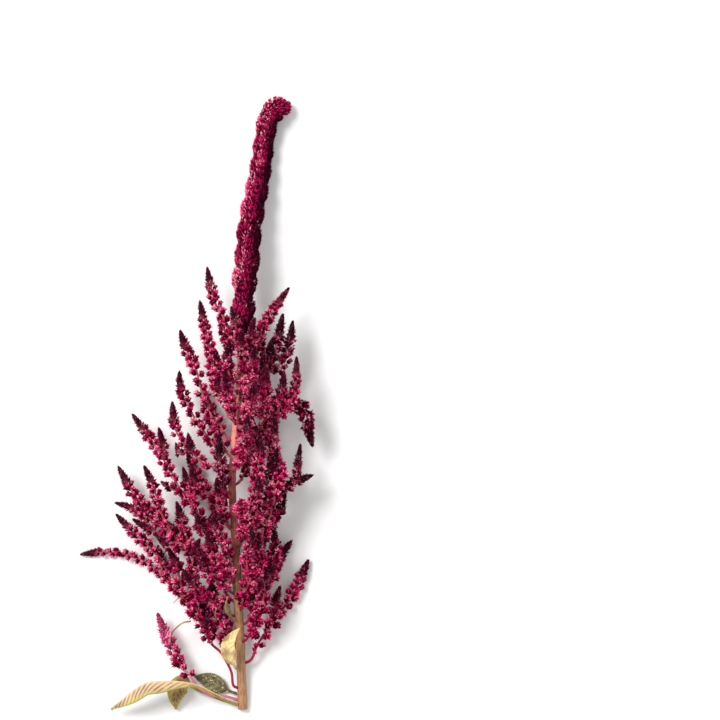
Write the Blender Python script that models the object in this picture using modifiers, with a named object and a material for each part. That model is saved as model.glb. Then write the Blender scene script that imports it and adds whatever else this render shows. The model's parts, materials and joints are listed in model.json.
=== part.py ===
"""Amaranth seed head, cut and laid on its back on a flat surface.

The main stem carries a long terminal spike with a hooked tip. Side sprays leave the stem all
round. Each spray is a twig whose spikes hold knots of small florets: spaced beads near the foot
and a close pointed head at the tip. A few leaves hang near the cut end.

+Y runs up the head to its tip, +X to its right, and +Z up from the surface that it lies on. The
origin lies on that surface under the middle of the head. The layout is in millimetres.
"""

import math
import random
from dataclasses import dataclass

import bmesh
import bpy
import numpy as np
from mathutils import Vector

# Driving dimensions, in millimetres
STEM_FOOT_RADIUS = 4.3
STEM_TOP_RADIUS = 2.8
TWIG_RADIUS = 1.3
TERMINAL_RADIUS = 11.2
TIP_TAPER = 21.0
TIP_POINT = 3.0
KNOT_PITCH = 4.9
BARE_PITCH = 11.0
STEM_PITCH = 26.0
BLADE_PITCH = 8.0
BLADE_THICKNESS = 0.9
SEAT_GAP = 0.3
MERGE_DISTANCE = 0.001
FINE_STEP = 2.5

# Each foot first runs this far out from the stem and this far up it, in millimetres
FOOT_RUN = 1.8
FOOT_RISE = 0.5

# Sides of the tubes, and columns of faces across a leaf
STEM_SIDES = 10
SPIKE_SIDES = 6
TERMINAL_SIDES = 16
BLADE_COLUMNS = 4

# Outline of a side spike, as shares: how it swells after its twig and draws in to its tip
FOOT_FULLNESS = 1.42
SWELL_SHARE = 0.14
TAPER_POWER = 0.62
TIP_FULLNESS = 0.12

# Relief of the florets, as shares of the radius or of the pitch
VALLEY = 0.66
WAIST = 0.5
LOW_FLORET = 0.84
SPIKE_UNEVENNESS = (0.92, 1.0)
KNOT_SWAY = 0.2
FORWARD = 0.42
TERMINAL_VALLEY = 0.86
TERMINAL_UNEVENNESS = (0.97, 1.05)
LUMP_DEPTH = 0.13
LUMP_COLUMNS = 5
GOLDEN_SHARE = 0.382
GOLDEN_ANGLE = math.radians(137.5)
SHARP_ANGLE = math.radians(50)

# Length of a lump of the terminal spike, in millimetres
LUMP_LENGTH = 11.0

# Outline of a leaf: the width of its petiole as a share, and how blunt its blade is
PETIOLE_WIDTH = 0.16
BLADE_BLUNTNESS = 0.85
WAVE_STEP = 2.1

# Spacing of the sprays, in millimetres
SETTLE_STEP = 4.0
CLEARANCE = 1.3
PAIR_REACH = 36.0
ROOT_LENGTH = 6.0
STIFF_LENGTH = 18.0
LARGEST_MOVE = 1.0
FLOOR_CLEARANCE = 0.7
LEAST_RADIUS = 0.4
STEM_ROOM = 0.2
BLADE_ROOM = 0.5
AMPLE_ROOM = 99.0

# Spacing of the sprays, as shares
SETTLE_ROUNDS = 200
PUSH_SHARE = 0.35
SAME_SPRAY_SHARE = 0.7
TERMINAL_ROOM = 1.05
BLADE_REACH = 0.3
SETTLE_AXES = np.array([0.3, 0.3, 1.0])
HOMING = np.array([0.05, 0.05, 0.01])

MM = 0.001

# Lines of the stem and of the terminal spike, foot to tip
STEM_LINE = (
    (38, -277, 3.9),
    (37, -250, 8),
    (36, -215, 14),
    (34, -179, 20),
    (33, -143, 26),
    (31, -107, 31),
    (29, -71, 35),
    (31, -44, 37),
    (33, -17, 39),
    (36, 19, 40),
    (37.6, 48, 39.4),
    (38.2, 59, 39),
)
TERMINAL_LINE = (
    (38.2, 59.4, 39),
    (39, 74, 37.4),
    (40, 91, 35.5),
    (40.5, 109, 32.5),
    (42.6, 127, 29),
    (43.7, 145, 25.5),
    (45.9, 163, 21.5),
    (49.3, 181, 17.5),
    (52.7, 199, 13.5),
    (55.5, 217, 10.2),
    (57.8, 235, 9.6),
    (59.9, 247.5, 10.4),
    (63.4, 257.8, 11.2),
    (70, 263.6, 10.8),
    (77.5, 263.8, 9),
)
# Radius of the terminal spike at shares of its length
TERMINAL_SHAPE = (
    (0, 0.62),
    (0.05, 0.95),
    (0.1, 1.0),
    (0.15, 0.84),
    (0.21, 1.08),
    (0.5, 1.02),
    (0.75, 0.9),
    (0.86, 0.87),
    (0.935, 1.02),
    (0.97, 0.92),
    (1, 0.6),
)


@dataclass
class Spike:
    """One spike: its line after the foot, its outer radius, and the shares that are bare and beaded."""

    line: tuple
    radius: float
    bare: float = 0.08
    beaded: float = 0.4
    start: float = None


# Each spray: where it leaves the stem along Y, then its spikes. A start is a share of the first spike.
SPRAYS = {
    "left_spray_1": (
        54,
        Spike(((28, 72, 41), (18, 81, 43), (10.3, 103, 42), (7.2, 119, 41)), 5.8, 0.06, 0.5),
    ),
    "left_spray_2": (
        -17,
        Spike(
            ((21, -4, 44), (14, 18, 47), (10.5, 43, 48), (4, 72, 46), (0.8, 89, 45)),
            6.0, 0.08, 0.15,
        ),
        Spike(((17, 6, 52), (18, 22, 55)), 5.0, 0.1, 0.4, 0.2),
    ),
    "left_spray_3": (
        -35,
        Spike(
            ((18, -17, 42), (5.3, 5, 43), (-3.7, 31, 41), (-13, 50, 39), (-17, 63, 38)),
            6.6, 0.06, 0.66,
        ),
        Spike(((12, -14, 50), (8, 4, 54)), 5.0, 0.1, 0.6, 0.24),
    ),
    "left_spray_4": (
        -58,
        Spike(((15, -42, 38), (2, -22, 37), (-10, -4, 35), (-17, 14, 33), (-18, 26, 33)), 6.3, 0.08, 0.7),
    ),
    "left_spray_5": (
        -70,
        Spike(
            ((14, -59, 37), (4, -55, 38), (-10, -41, 39), (-20, -28, 40), (-24, -1, 41)),
            6.2, 0.16, 0.7,
        ),
        Spike(((-8, -42, 47), (-9.5, -29, 52)), 5.4, 0.1, 0.1, 0.5),
        Spike(((-17, -48, 34), (-21, -38, 32)), 4.8, 0.1, 0.6, 0.5),
    ),
    "left_spray_6": (-82, Spike(((22, -66, 44), (19, -50, 50), (18, -30, 53)), 6.2, 0.12, 0.1)),
    "left_spray_7": (
        -143,
        Spike(
            (
                (18, -125, 34), (4, -107, 34), (-10, -89, 33),
                (-22, -71, 31), (-37.5, -43, 29), (-60, -12, 28),
            ),
            6.2,
            0.1,
            0.6,
        ),
        Spike(((-32, -41, 38), (-36, -24, 42)), 5.2, 0.1, 0.2, 0.7),
        Spike(((-4, -78, 43), (-7, -56, 47)), 6.6, 0.1, 0.4, 0.4),
        Spike(((5, -116, 46), (-4, -98, 52)), 6.2, 0.1, 0.5, 0.16),
        Spike(((-27, -78, 34), (-34, -72, 35)), 5.4, 0.1, 0.7, 0.5),
        Spike(((-9, -80, 24), (-15, -60, 20)), 6.0, 0.1, 0.5, 0.36),
    ),
    "left_spray_8": (
        -179,
        Spike(
            (
                (19, -163, 26), (0, -143, 27), (-23, -121, 26),
                (-41, -103, 24), (-58, -85, 22), (-73, -59, 19),
            ),
            6.2,
            0.1,
            0.55,
        ),
        Spike(((-33, -103, 33), (-40, -78, 38), (-49, -58, 41)), 5.8, 0.1, 0.35, 0.5),
        Spike(((-50, -102, 28), (-66, -93.5, 28), (-75, -91, 28)), 5.2, 0.1, 0.4, 0.56),
        Spike(((10, -128, 40), (18, -98, 46)), 6.2, 0.1, 0.1, 0.2),
        Spike(((-14, -112, 36), (-20, -90, 44)), 6.4, 0.1, 0.5, 0.36),
        Spike(((-28, -130, 34), (-38, -120, 38)), 5.6, 0.1, 0.6, 0.4),
        Spike(((-36, -121, 18), (-50, -113, 16), (-60, -106, 15)), 5.8, 0.1, 0.6, 0.42),
    ),
    "left_spray_9": (
        -257,
        Spike(
            (
                (28, -242, 14),
                (19, -226, 16),
                (8, -207, 17),
                (-10, -182, 16),
                (-27, -164, 14),
                (-44, -148, 10),
                (-63, -138.5, 6),
                (-79, -136, 4),
                (-93, -136, 3.6),
                (-107.5, -138, 3.4),
            ),
            5.6,
            0.28,
            0.9,
        ),
        Spike(
            ((-36, -143, 17), (-46, -128, 20), (-60, -117, 20), (-74.8, -101.8, 18)),
            6.0, 0.08, 0.25, 0.6,
        ),
        Spike(((-20, -150, 24), (-26, -130, 30)), 6.8, 0.08, 0.5, 0.48),
        Spike(((-5, -165, 26), (-2, -142, 34), (1, -122, 38)), 6.6, 0.08, 0.5, 0.34),
        Spike(((6, -202, 26), (10, -186, 32)), 5.4, 0.1, 0.4, 0.24),
        Spike(((-12, -179, 12), (-22, -170, 10)), 5.4, 0.1, 0.8, 0.4),
        Spike(((-33, -146, 10), (-38, -130, 8)), 5.6, 0.1, 0.6, 0.52),
    ),
    "left_spray_10": (
        -268,
        Spike(
            (
                (20, -266, 9), (5, -262, 13), (-6, -252, 16), (-17, -238, 17),
                (-26, -219, 17), (-33, -204, 16), (-38, -190.5, 15),
            ),
            6.6,
            0.42,
            0.3,
        ),
    ),
    "left_spray_11": (-208, Spike(((22, -192, 24), (14, -172, 30), (12, -160, 34)), 6.2, 0.1, 0.4)),
    "left_spray_12": (-162, Spike(((20, -147, 40), (12, -130, 50), (9, -114, 57)), 6.4, 0.1, 0.4)),
    "left_spray_13": (-192, Spike(((18, -180, 30), (0, -168, 38), (-14, -150, 44)), 6.6, 0.1, 0.5)),
    "left_spray_14": (
        -112,
        Spike(((25, -101, 38), (20, -86, 43), (17, -68, 49)), 5.8, 0.1, 0.5),
        Spike(((19, -106, 47), (12, -98, 52)), 5.2, 0.1, 0.5, 0.2),
        Spike(((22, -80, 51), (23, -68, 56)), 4.8, 0.1, 0.5, 0.5),
    ),
    "left_spray_15": (-172, Spike(((17, -160, 34), (5, -148, 42), (-1, -132, 48)), 6.4, 0.1, 0.5)),
    "left_spray_16": (-218, Spike(((22, -208, 13), (10, -196, 12), (-1, -180, 12)), 6.2, 0.1, 0.5)),
    "right_spray_1": (
        47,
        Spike(
            ((50, 60, 42), (62, 74, 44), (71.5, 89, 45), (80, 101, 45)),
            5.6, 0.08, 0.35,
        ),
    ),
    "right_spray_2": (
        14,
        Spike(((50, 20, 42), (62, 32, 44), (69, 50, 45), (72, 64, 45), (74, 78, 45)), 6.2, 0.08, 0.3),
        Spike(((71, 27, 40), (77, 38, 38), (81, 54, 37), (83.5, 71.5, 36)), 5.6, 0.1, 0.05, 0.3),
        Spike(((62, 40, 54), (66, 56, 60)), 5.8, 0.1, 0.3, 0.4),
    ),
    "right_spray_3": (
        -40,
        Spike(((55, -26, 44), (70, -14, 46), (80, -4, 47), (85, 8, 47), (87, 39, 45)), 5.4, 0.08, 0.4),
        Spike(((58, -2, 54), (60, 16, 62), (61, 30, 68)), 6.6, 0.1, 0.3, 0.2),
        Spike(((74, 6, 55), (76, 26, 60)), 6.2, 0.1, 0.3, 0.42),
    ),
    "right_spray_4": (
        -22,
        Spike(
            (
                (44, -11, 38), (60, -4, 36), (76, -1, 36), (88, -3, 36),
                (95, -10, 35), (97, -23, 34), (101, -40, 32),
            ),
            7.4,
            0.08,
            0.25,
        ),
    ),
    "right_spray_5": (
        -94,
        Spike(
            (
                (50, -90, 40), (66, -82, 42), (76, -77, 42),
                (84, -72, 42), (87.5, -58, 42), (90.3, -38.6, 42),
            ),
            5.0, 0.16, 0.3,
        ),
        Spike(((93, -69, 44), (101, -66, 45)), 4.6, 0.1, 0.1, 0.62),
        Spike(((66, -58, 50), (70, -42, 54)), 5.4, 0.1, 0.4, 0.4),
    ),
    "right_spray_6": (
        -130,
        Spike(
            ((42, -112, 46), (50, -89, 54), (54, -62, 58), (55, -30, 64)),
            7.0, 0.08, 0.5,
        ),
    ),
    "right_spray_7": (
        -161,
        Spike(
            ((46, -140, 36), (56, -115, 42), (63, -89, 46), (67, -62, 46), (66, -35, 46), (66, -14, 50)),
            6.8,
            0.08,
            0.5,
        ),
    ),
    "right_spray_8": (
        -172,
        Spike(
            ((48, -150, 26), (58, -125, 30), (66, -98, 33), (69, -71, 33), (71.5, -47, 32)),
            6.6, 0.08, 0.5,
        ),
        Spike(((72, -94, 38), (76.5, -78, 41)), 5.2, 0.1, 0.2, 0.5),
    ),
    "right_spray_9": (
        -200,
        Spike(((46, -180, 24), (56, -160, 24), (62, -140, 23), (66.5, -114, 22)), 6.8, 0.08, 0.5),
        Spike(((62, -158, 31), (64, -141, 34)), 5.6, 0.1, 0.3, 0.45),
    ),
    "right_spray_10": (
        -235,
        Spike(((52, -217, 14), (70, -193, 8), (86, -168, 5.4), (97, -143, 5.2)), 6.8, 0.1, 0.6),
        Spike(((66, -186, 18), (72, -166, 24)), 6.0, 0.1, 0.5, 0.34),
    ),
    "right_spray_11": (
        -186,
        Spike(((43, -168, 36), (50, -145, 42), (53, -116, 46)), 7.0, 0.08, 0.5),
        Spike(((43, -146, 46), (46, -128, 54), (47, -110, 60)), 6.0, 0.1, 0.4, 0.36),
    ),
    "right_spray_12": (-215, Spike(((46, -202, 28), (55, -182, 36), (61, -156, 42)), 6.8, 0.08, 0.5)),
    "right_spray_13": (-8, Spike(((48, 6, 48), (56, 24, 56), (58, 44, 62)), 6.4, 0.1, 0.4)),
    "right_spray_14": (-58, Spike(((44, -48, 42), (50, -32, 46), (52, -14, 49)), 6.4, 0.1, 0.4)),
    "right_spray_15": (-120, Spike(((44, -108, 41), (50, -96, 46), (52, -80, 51)), 6.4, 0.1, 0.4)),
    "right_spray_16": (-176, Spike(((45, -167, 21), (57, -150, 19), (62, -134, 18)), 6.4, 0.1, 0.5)),
    "front_spray_1": (44, Spike(((34, 58, 50), (29, 84, 56)), 6.2, 0.1, 0.1)),
    "front_spray_2": (36, Spike(((43, 50, 53), (50, 74, 58)), 6.2, 0.1, 0.1)),
    "front_spray_3": (16, Spike(((32, 32, 56), (27, 54, 68)), 6.4, 0.1, 0.2)),
    "front_spray_4": (2, Spike(((44, 18, 58), (49, 38, 76), (51, 48, 86)), 6.4, 0.1, 0.2)),
    "front_spray_5": (24, Spike(((37, 42, 60), (39, 64, 72)), 6.4, 0.1, 0.2)),
    "front_spray_6": (-32, Spike(((42, -16, 60), (48, 4, 80), (50, 16, 92)), 6.6, 0.1, 0.3)),
    "front_spray_7": (-116, Spike(((45, -100, 50), (52, -82, 66), (54, -66, 78)), 6.4, 0.1, 0.5)),
    "front_spray_9": (-20, Spike(((31, -5, 57), (25, 13, 70), (24, 27, 80)), 6.4, 0.1, 0.3)),
    "front_spray_10": (-62, Spike(((36, -46, 54), (43, -28, 66), (44, -12, 76)), 6.4, 0.1, 0.3)),
    "front_spray_8": (-150, Spike(((24, -134, 42), (16, -114, 56), (14, -98, 66)), 5.8, 0.12, 0.5)),
    "back_spray_1": (40, Spike(((24, 58, 31), (19, 82, 28)), 6.2, 0.1, 0.2)),
    "back_spray_2": (24, Spike(((52, 44, 28), (57, 70, 25)), 6.2, 0.1, 0.2)),
    "back_spray_3": (0, Spike(((20, 20, 25), (14, 46, 22)), 6.4, 0.1, 0.3)),
    "back_spray_4": (-12, Spike(((50, 8, 23), (62, 32, 19)), 6.4, 0.1, 0.3)),
    "back_spray_5": (-50, Spike(((17, -30, 20), (6, -6, 13), (2, 14, 11)), 6.6, 0.1, 0.4)),
    "back_spray_6": (-75, Spike(((46, -52, 20), (60, -28, 13), (66, -6, 11)), 6.6, 0.1, 0.4)),
    "back_spray_7": (-115, Spike(((14, -94, 16), (-2, -70, 10), (-12, -46, 8)), 6.6, 0.1, 0.5)),
    "back_spray_8": (-128, Spike(((48, -106, 16), (62, -84, 11), (76, -62, 8)), 6.6, 0.1, 0.5)),
    "back_spray_9": (-165, Spike(((12, -148, 12), (-12, -128, 8), (-34, -106, 7)), 6.6, 0.1, 0.5)),
    "back_spray_10": (-185, Spike(((48, -166, 11), (66, -146, 8), (82, -126, 7)), 6.6, 0.1, 0.5)),
    "back_spray_11": (-222, Spike(((24, -208, 9), (8, -188, 7), (-6, -170, 7)), 6.0, 0.1, 0.5)),
}
# The pieces that bear on the surface: each gets a small flat spot there
BEARING = ("left_spray_9", "right_spray_10")


@dataclass
class Blade:
    """One leaf: where it leaves the stem along Y, its midrib after that, its full width, how far
    its margins fold up, its waves in millimetres, how far it is turned, its colour, the share of
    its length that is petiole, and how far along its blade is widest."""

    height: float
    line: tuple
    width: float
    fold: float
    waves: float
    turn: float
    colour: tuple
    petiole: float = 0.22
    skew: float = 0.8


PALE_GREEN = (0.50, 0.44, 0.19)
BRIGHT_GREEN = (0.74, 0.68, 0.25)
DARK_GREEN = (0.13, 0.15, 0.06)

LEAVES = {
    "arched_leaf": Blade(
        -271,
        (
            (15, -263, 26), (0, -255.4, 29), (-14, -251.8, 31), (-32, -251, 31),
            (-47, -252.6, 29), (-57, -258, 26), (-68, -267, 20), (-80, -276.5, 12),
        ),
        16,
        -1.0,
        0.6,
        -0.72,
        PALE_GREEN,
        0.34,
        1.1,
    ),
    "hanging_leaf": Blade(
        -273,
        (
            (15, -267, 3), (-4, -259, 6), (-14, -254, 9),
            (-19.4, -257.4, 10), (-22, -266.4, 8), (-21.7, -277, 4),
        ),
        18,
        0.4,
        0.6,
        -0.4,
        PALE_GREEN,
        0.6,
        0.6,
    ),
    "bright_leaf": Blade(
        -240,
        ((29, -233, 26), (25.5, -224, 31), (26, -215, 34), (31, -207.5, 35), (36, -203, 35)),
        13,
        0.25,
        1.0,
        1.3,
        BRIGHT_GREEN,
    ),
    "bract": Blade(-196, ((26, -190, 32), (23, -182, 37), (25, -174, 39)), 6.5, 0.4, 0.5, 0.2, PALE_GREEN),
    "dark_leaf": Blade(
        -263,
        ((20, -258, 4), (7, -251, 4.5), (-5.5, -247.5, 4.5)),
        16,
        0.12,
        0.7,
        0.0,
        DARK_GREEN,
    ),
}

STEM_COLOUR = (0.23, 0.075, 0.045)
FLORET_COLOUR = (0.165, 0.008, 0.034)
DARK_FLORET_COLOUR = (0.055, 0.002, 0.012)
PINK_FLORET_COLOUR = (0.36, 0.035, 0.11)
DARK_SPRAYS = ("left_spray_6", "right_spray_2", "right_spray_4", "right_spray_5", "right_spray_8")
PINK_SPRAYS = ("left_spray_10",)


def smooth_line(points, step):
    """Evenly spaced points on a smooth curve through the given ones, as an array."""
    knots = np.array(points, float)
    gaps = np.linalg.norm(np.diff(knots, axis=0), axis=1)
    slopes = np.diff(knots, axis=0) / gaps[:, None]
    tangents = np.empty_like(knots)
    tangents[0] = slopes[0]
    tangents[-1] = slopes[-1]
    shares = gaps[1:, None] / (gaps[1:, None] + gaps[:-1, None])
    tangents[1:-1] = slopes[:-1] * shares + slopes[1:] * (1 - shares)
    fine = [knots[:1]]
    for k, gap in enumerate(gaps):
        t = np.linspace(0, 1, 13)[1:, None]
        fine.append(
            (2 * t**3 - 3 * t**2 + 1) * knots[k]
            + (t**3 - 2 * t**2 + t) * gap * tangents[k]
            + (3 * t**2 - 2 * t**3) * knots[k + 1]
            + (t**3 - t**2) * gap * tangents[k + 1]
        )
    return evenly(np.concatenate(fine), step)


def run_along(points):
    """The distance of each point from the first, along the line."""
    return np.concatenate([[0], np.cumsum(np.linalg.norm(np.diff(points, axis=0), axis=1))])


def evenly(points, step):
    run = run_along(points)
    count = max(2, round(run[-1] / step))
    return at_runs(points, np.linspace(0, run[-1], count + 1))


def at_runs(points, places):
    """The points of the line at the given distances from its start."""
    run = run_along(points)
    return np.stack([np.interp(places, run, points[:, k]) for k in range(3)], axis=1)


def stem_at(y):
    """The stem's axis, its direction and its radius at a height along Y."""
    line = smooth_line(STEM_LINE, FINE_STEP)
    k = int(np.clip(np.searchsorted(line[:, 1], y), 1, len(line) - 1))
    share = (y - line[k - 1, 1]) / (line[k, 1] - line[k - 1, 1])
    along = line[k] - line[k - 1]
    height = (y - line[0, 1]) / (line[-1, 1] - line[0, 1])
    radius = STEM_FOOT_RADIUS + (STEM_TOP_RADIUS - STEM_FOOT_RADIUS) * height
    return line[k - 1] + share * along, along / np.linalg.norm(along), radius


def rooted(y, line):
    """The line with its foot seated on the stem: it leaves square to the stem, then bends up."""
    axis, along, radius = stem_at(y)
    out = np.array(line[0], float) - axis
    out -= along * (out @ along)
    out /= np.linalg.norm(out)
    foot = axis + out * (radius + SEAT_GAP)
    return (tuple(foot), tuple(foot + out * FOOT_RUN + along * FOOT_RISE), *line)


def outer_radius(spike, run):
    """The florets' outer radius at the given distances along the spike."""
    length = run[-1]
    share = run / length
    taper = np.clip((length - run) / min(TIP_TAPER, 0.6 * length), 0, 1) ** TAPER_POWER
    taper = TIP_FULLNESS + (1 - TIP_FULLNESS) * taper
    swell = np.clip((share - spike.bare * 0.8) / SWELL_SHARE, 0, 1)
    swell = swell * swell * (3 - 2 * swell)
    fullness = FOOT_FULLNESS + (1 - FOOT_FULLNESS) * share
    return TWIG_RADIUS + (spike.radius * fullness - TWIG_RADIUS) * swell * taper


def lay_out():
    """Every spike as [spray, spike, line, radii, parent], after the sprays have been spread apart.

    The parent is None on a spike that sits on the stem. Otherwise it is the place in this list of
    the spike that carries it, and the point on that spike's line.
    """
    rows = []
    for spray, (height, *spikes) in SPRAYS.items():
        first = len(rows)
        for spike in spikes:
            if spike.start is None:
                line = smooth_line(rooted(height, spike.line), SETTLE_STEP)
                parent = None
            else:
                trunk = rows[first][2]
                parent = (first, round(spike.start * (len(trunk) - 1)))
                line = smooth_line((tuple(trunk[parent[1]]), *spike.line), SETTLE_STEP)
            rows.append([spray, spike, line, outer_radius(spike, run_along(line)), parent])
    spread(rows)
    return rows


def fixed_bodies():
    """Points and radii of what the sprays keep clear of: the stem, the terminal spike and the leaves."""
    bodies = [(STEM_LINE, STEM_FOOT_RADIUS + STEM_ROOM)]
    for blade in LEAVES.values():
        bodies.append((rooted(blade.height, blade.line), blade.width * BLADE_REACH + BLADE_ROOM))
    lines = [smooth_line(line, SETTLE_STEP) for line, _ in bodies]
    radii = [np.full(len(line), radius) for line, (_, radius) in zip(lines, bodies)]
    terminal = smooth_line(TERMINAL_LINE, SETTLE_STEP)
    shares = np.linspace(0, 1, len(terminal))
    rooms = [*radii, terminal_radius(shares) * TERMINAL_ROOM]
    return np.concatenate([*lines, terminal]), np.concatenate(rooms)


def terminal_radius(share):
    """The terminal spike's radius over its florets, at shares of its length."""
    places, shapes = zip(*TERMINAL_SHAPE)
    return TERMINAL_RADIUS * np.interp(share, places, shapes)


def near_pairs(points, radii, owner, sprays, run):
    """Pairs of points that may meet, and how far apart the lines have to stay there."""
    count = len(owner)
    first, second = [], []
    for k in range(count):
        others = np.arange(k + 1, len(points))
        away = np.linalg.norm(points[others] - points[k], axis=1)
        others = others[away < PAIR_REACH]
        first.append(np.full(len(others), k))
        second.append(others)
    first, second = np.concatenate(first), np.concatenate(second)
    apart = radii[first] + radii[second] + CLEARANCE
    fixed = second >= count
    other = np.minimum(second, count - 1)
    apart[fixed & (run[first] < ROOT_LENGTH)] = 0
    near_root = np.minimum(run[first], run[other]) < STIFF_LENGTH
    same = ~fixed & (sprays[first] == sprays[other])
    apart[same] *= SAME_SPRAY_SHARE
    apart[same & near_root] = 0
    apart[~fixed & (owner[first] == owner[other])] = 0
    used = apart > 0
    return first[used], second[used], apart[used], fixed[used], same[used]


def spread(rows):
    """Moves the spikes' lines apart, mostly up and down, and thins them where they still meet."""
    counts = [len(row[2]) for row in rows]
    starts = np.concatenate([[0], np.cumsum(counts)])
    owner = np.repeat(np.arange(len(rows)), counts)
    names = list(SPRAYS)
    sprays = np.array([names.index(row[0]) for row in rows])[owner]
    bearing = np.repeat([row[0] in BEARING for row in rows], counts)
    run = np.concatenate([run_along(row[2]) for row in rows])
    still_points, still_radii = fixed_bodies()
    points = np.concatenate([row[2] for row in rows] + [still_points])
    radii = np.concatenate([row[3] for row in rows] + [still_radii])
    moving = slice(0, starts[-1])
    home = points[moving].copy()
    free = np.clip(run / STIFF_LENGTH, 0, 1)[:, None]
    low = np.where(bearing, -radii[moving], radii[moving] + FLOOR_CLEARANCE)
    first, second, apart, fixed, same = near_pairs(points, radii, owner, sprays, run)
    share = np.where(fixed, 1.0, 0.5) * PUSH_SHARE

    for _ in range(SETTLE_ROUNDS):
        away = points[first] - points[second]
        length = np.maximum(np.linalg.norm(away, axis=1), MERGE_DISTANCE)
        move = away * (np.maximum(apart - length, 0) * share / length)[:, None]
        push = np.zeros_like(points)
        for axis in range(3):
            push[:, axis] = np.bincount(first, move[:, axis], len(points))
            push[:, axis] -= np.bincount(second, move[:, axis], len(points))
        push = push[moving] + (home - points[moving]) * HOMING
        push = smoothed(push * SETTLE_AXES, starts)
        points[moving] += np.clip(push, -LARGEST_MOVE, LARGEST_MOVE) * free
        lifted = (run > ROOT_LENGTH) & (points[moving, 2] < low)
        points[moving, 2] = np.where(lifted, low, points[moving, 2])
        for k, row in enumerate(rows):
            if row[4]:
                foot = points[starts[row[4][0]] + row[4][1]]
                piece = slice(starts[k], starts[k + 1])
                fade = np.clip(1 - run[piece] / STIFF_LENGTH, 0, 1)[:, None]
                points[piece] += (foot - points[starts[k]]) * fade

    room = np.full(len(points), AMPLE_ROOM)
    length = np.linalg.norm(points[first] - points[second], axis=1) - CLEARANCE
    meets = (length + CLEARANCE < apart) & ~same
    own = np.where(fixed, length - radii[second], length * radii[first] / (radii[first] + radii[second]))
    np.minimum.at(room, first[meets], own[meets])
    np.minimum.at(room, second[meets], (length - own)[meets])
    for k, row in enumerate(rows):
        piece = slice(starts[k], starts[k + 1])
        row[2] = points[piece]
        row[3] = np.maximum(np.minimum(radii[piece], narrowed(room[piece])), LEAST_RADIUS)


def narrowed(room):
    """Each place takes the least room of itself and its two neighbours."""
    padded = np.pad(room, 1, mode="edge")
    return np.minimum(np.minimum(padded[:-2], padded[2:]), room)


def smoothed(push, starts):
    """The pushes, each averaged with its neighbours' along its own spike."""
    for _ in range(3):
        before = np.roll(push, 1, axis=0)
        after = np.roll(push, -1, axis=0)
        before[starts[:-1]] = push[starts[:-1]]
        after[starts[1:] - 1] = push[starts[1:] - 1]
        push = (before + 2 * push + after) / 4
    return push


def ring_runs(spike, length):
    """Where the rings stand: far apart on the bare twig, and one for each knot or waist after it."""
    knots = np.arange(length, spike.bare * length, -KNOT_PITCH)[1:][::-1]
    bare = knots[0] if len(knots) else length
    count = max(1, round(bare / BARE_PITCH))
    return np.concatenate([np.linspace(0, bare, count + 1)[:-1], knots])


def frames(line, seat=None):
    """A direction and two square ones at each point, carried along the line without twist."""
    ahead = np.gradient(line, axis=0)
    ahead /= np.linalg.norm(ahead, axis=1)[:, None]
    if seat is not None:
        ahead[0] = seat
    side = np.cross(ahead[0], (0, 0, 1))
    across = []
    for direction in ahead:
        side = side - direction * (side @ direction)
        side = side / np.linalg.norm(side)
        across.append(side)
    across = np.array(across)
    return ahead, across, np.cross(across, ahead)


def lofted(rings, tip=None):
    """A closed tube through rings of points, with a flat foot, and a point or a flat end."""
    rows = rings if tip is None else [*rings, [tip] * len(rings[0])]
    sides = len(rows[0])
    bm = bmesh.new()
    bmesh.ops.create_grid(bm, x_segments=sides, y_segments=len(rows) - 1, size=1.0)
    for vert in bm.verts:
        j = round((vert.co.x + 1) / 2 * sides) % sides
        k = round((vert.co.y + 1) / 2 * (len(rows) - 1))
        vert.co = Vector(rows[k][j]) * MM
    bmesh.ops.remove_doubles(bm, verts=bm.verts[:], dist=MERGE_DISTANCE * MM)
    bmesh.ops.holes_fill(bm, edges=[edge for edge in bm.edges if edge.is_boundary])
    bmesh.ops.triangulate(bm, faces=bm.faces[:], quad_method="SHORT_EDGE")
    bmesh.ops.recalc_face_normals(bm, faces=bm.faces[:])
    return bm


def seat_direction(foot):
    """The direction square to the stem in which a foot stands off it."""
    axis, along, _ = stem_at(foot[1])
    out = foot - axis
    out -= along * (out @ along)
    return out / np.linalg.norm(out)


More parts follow.
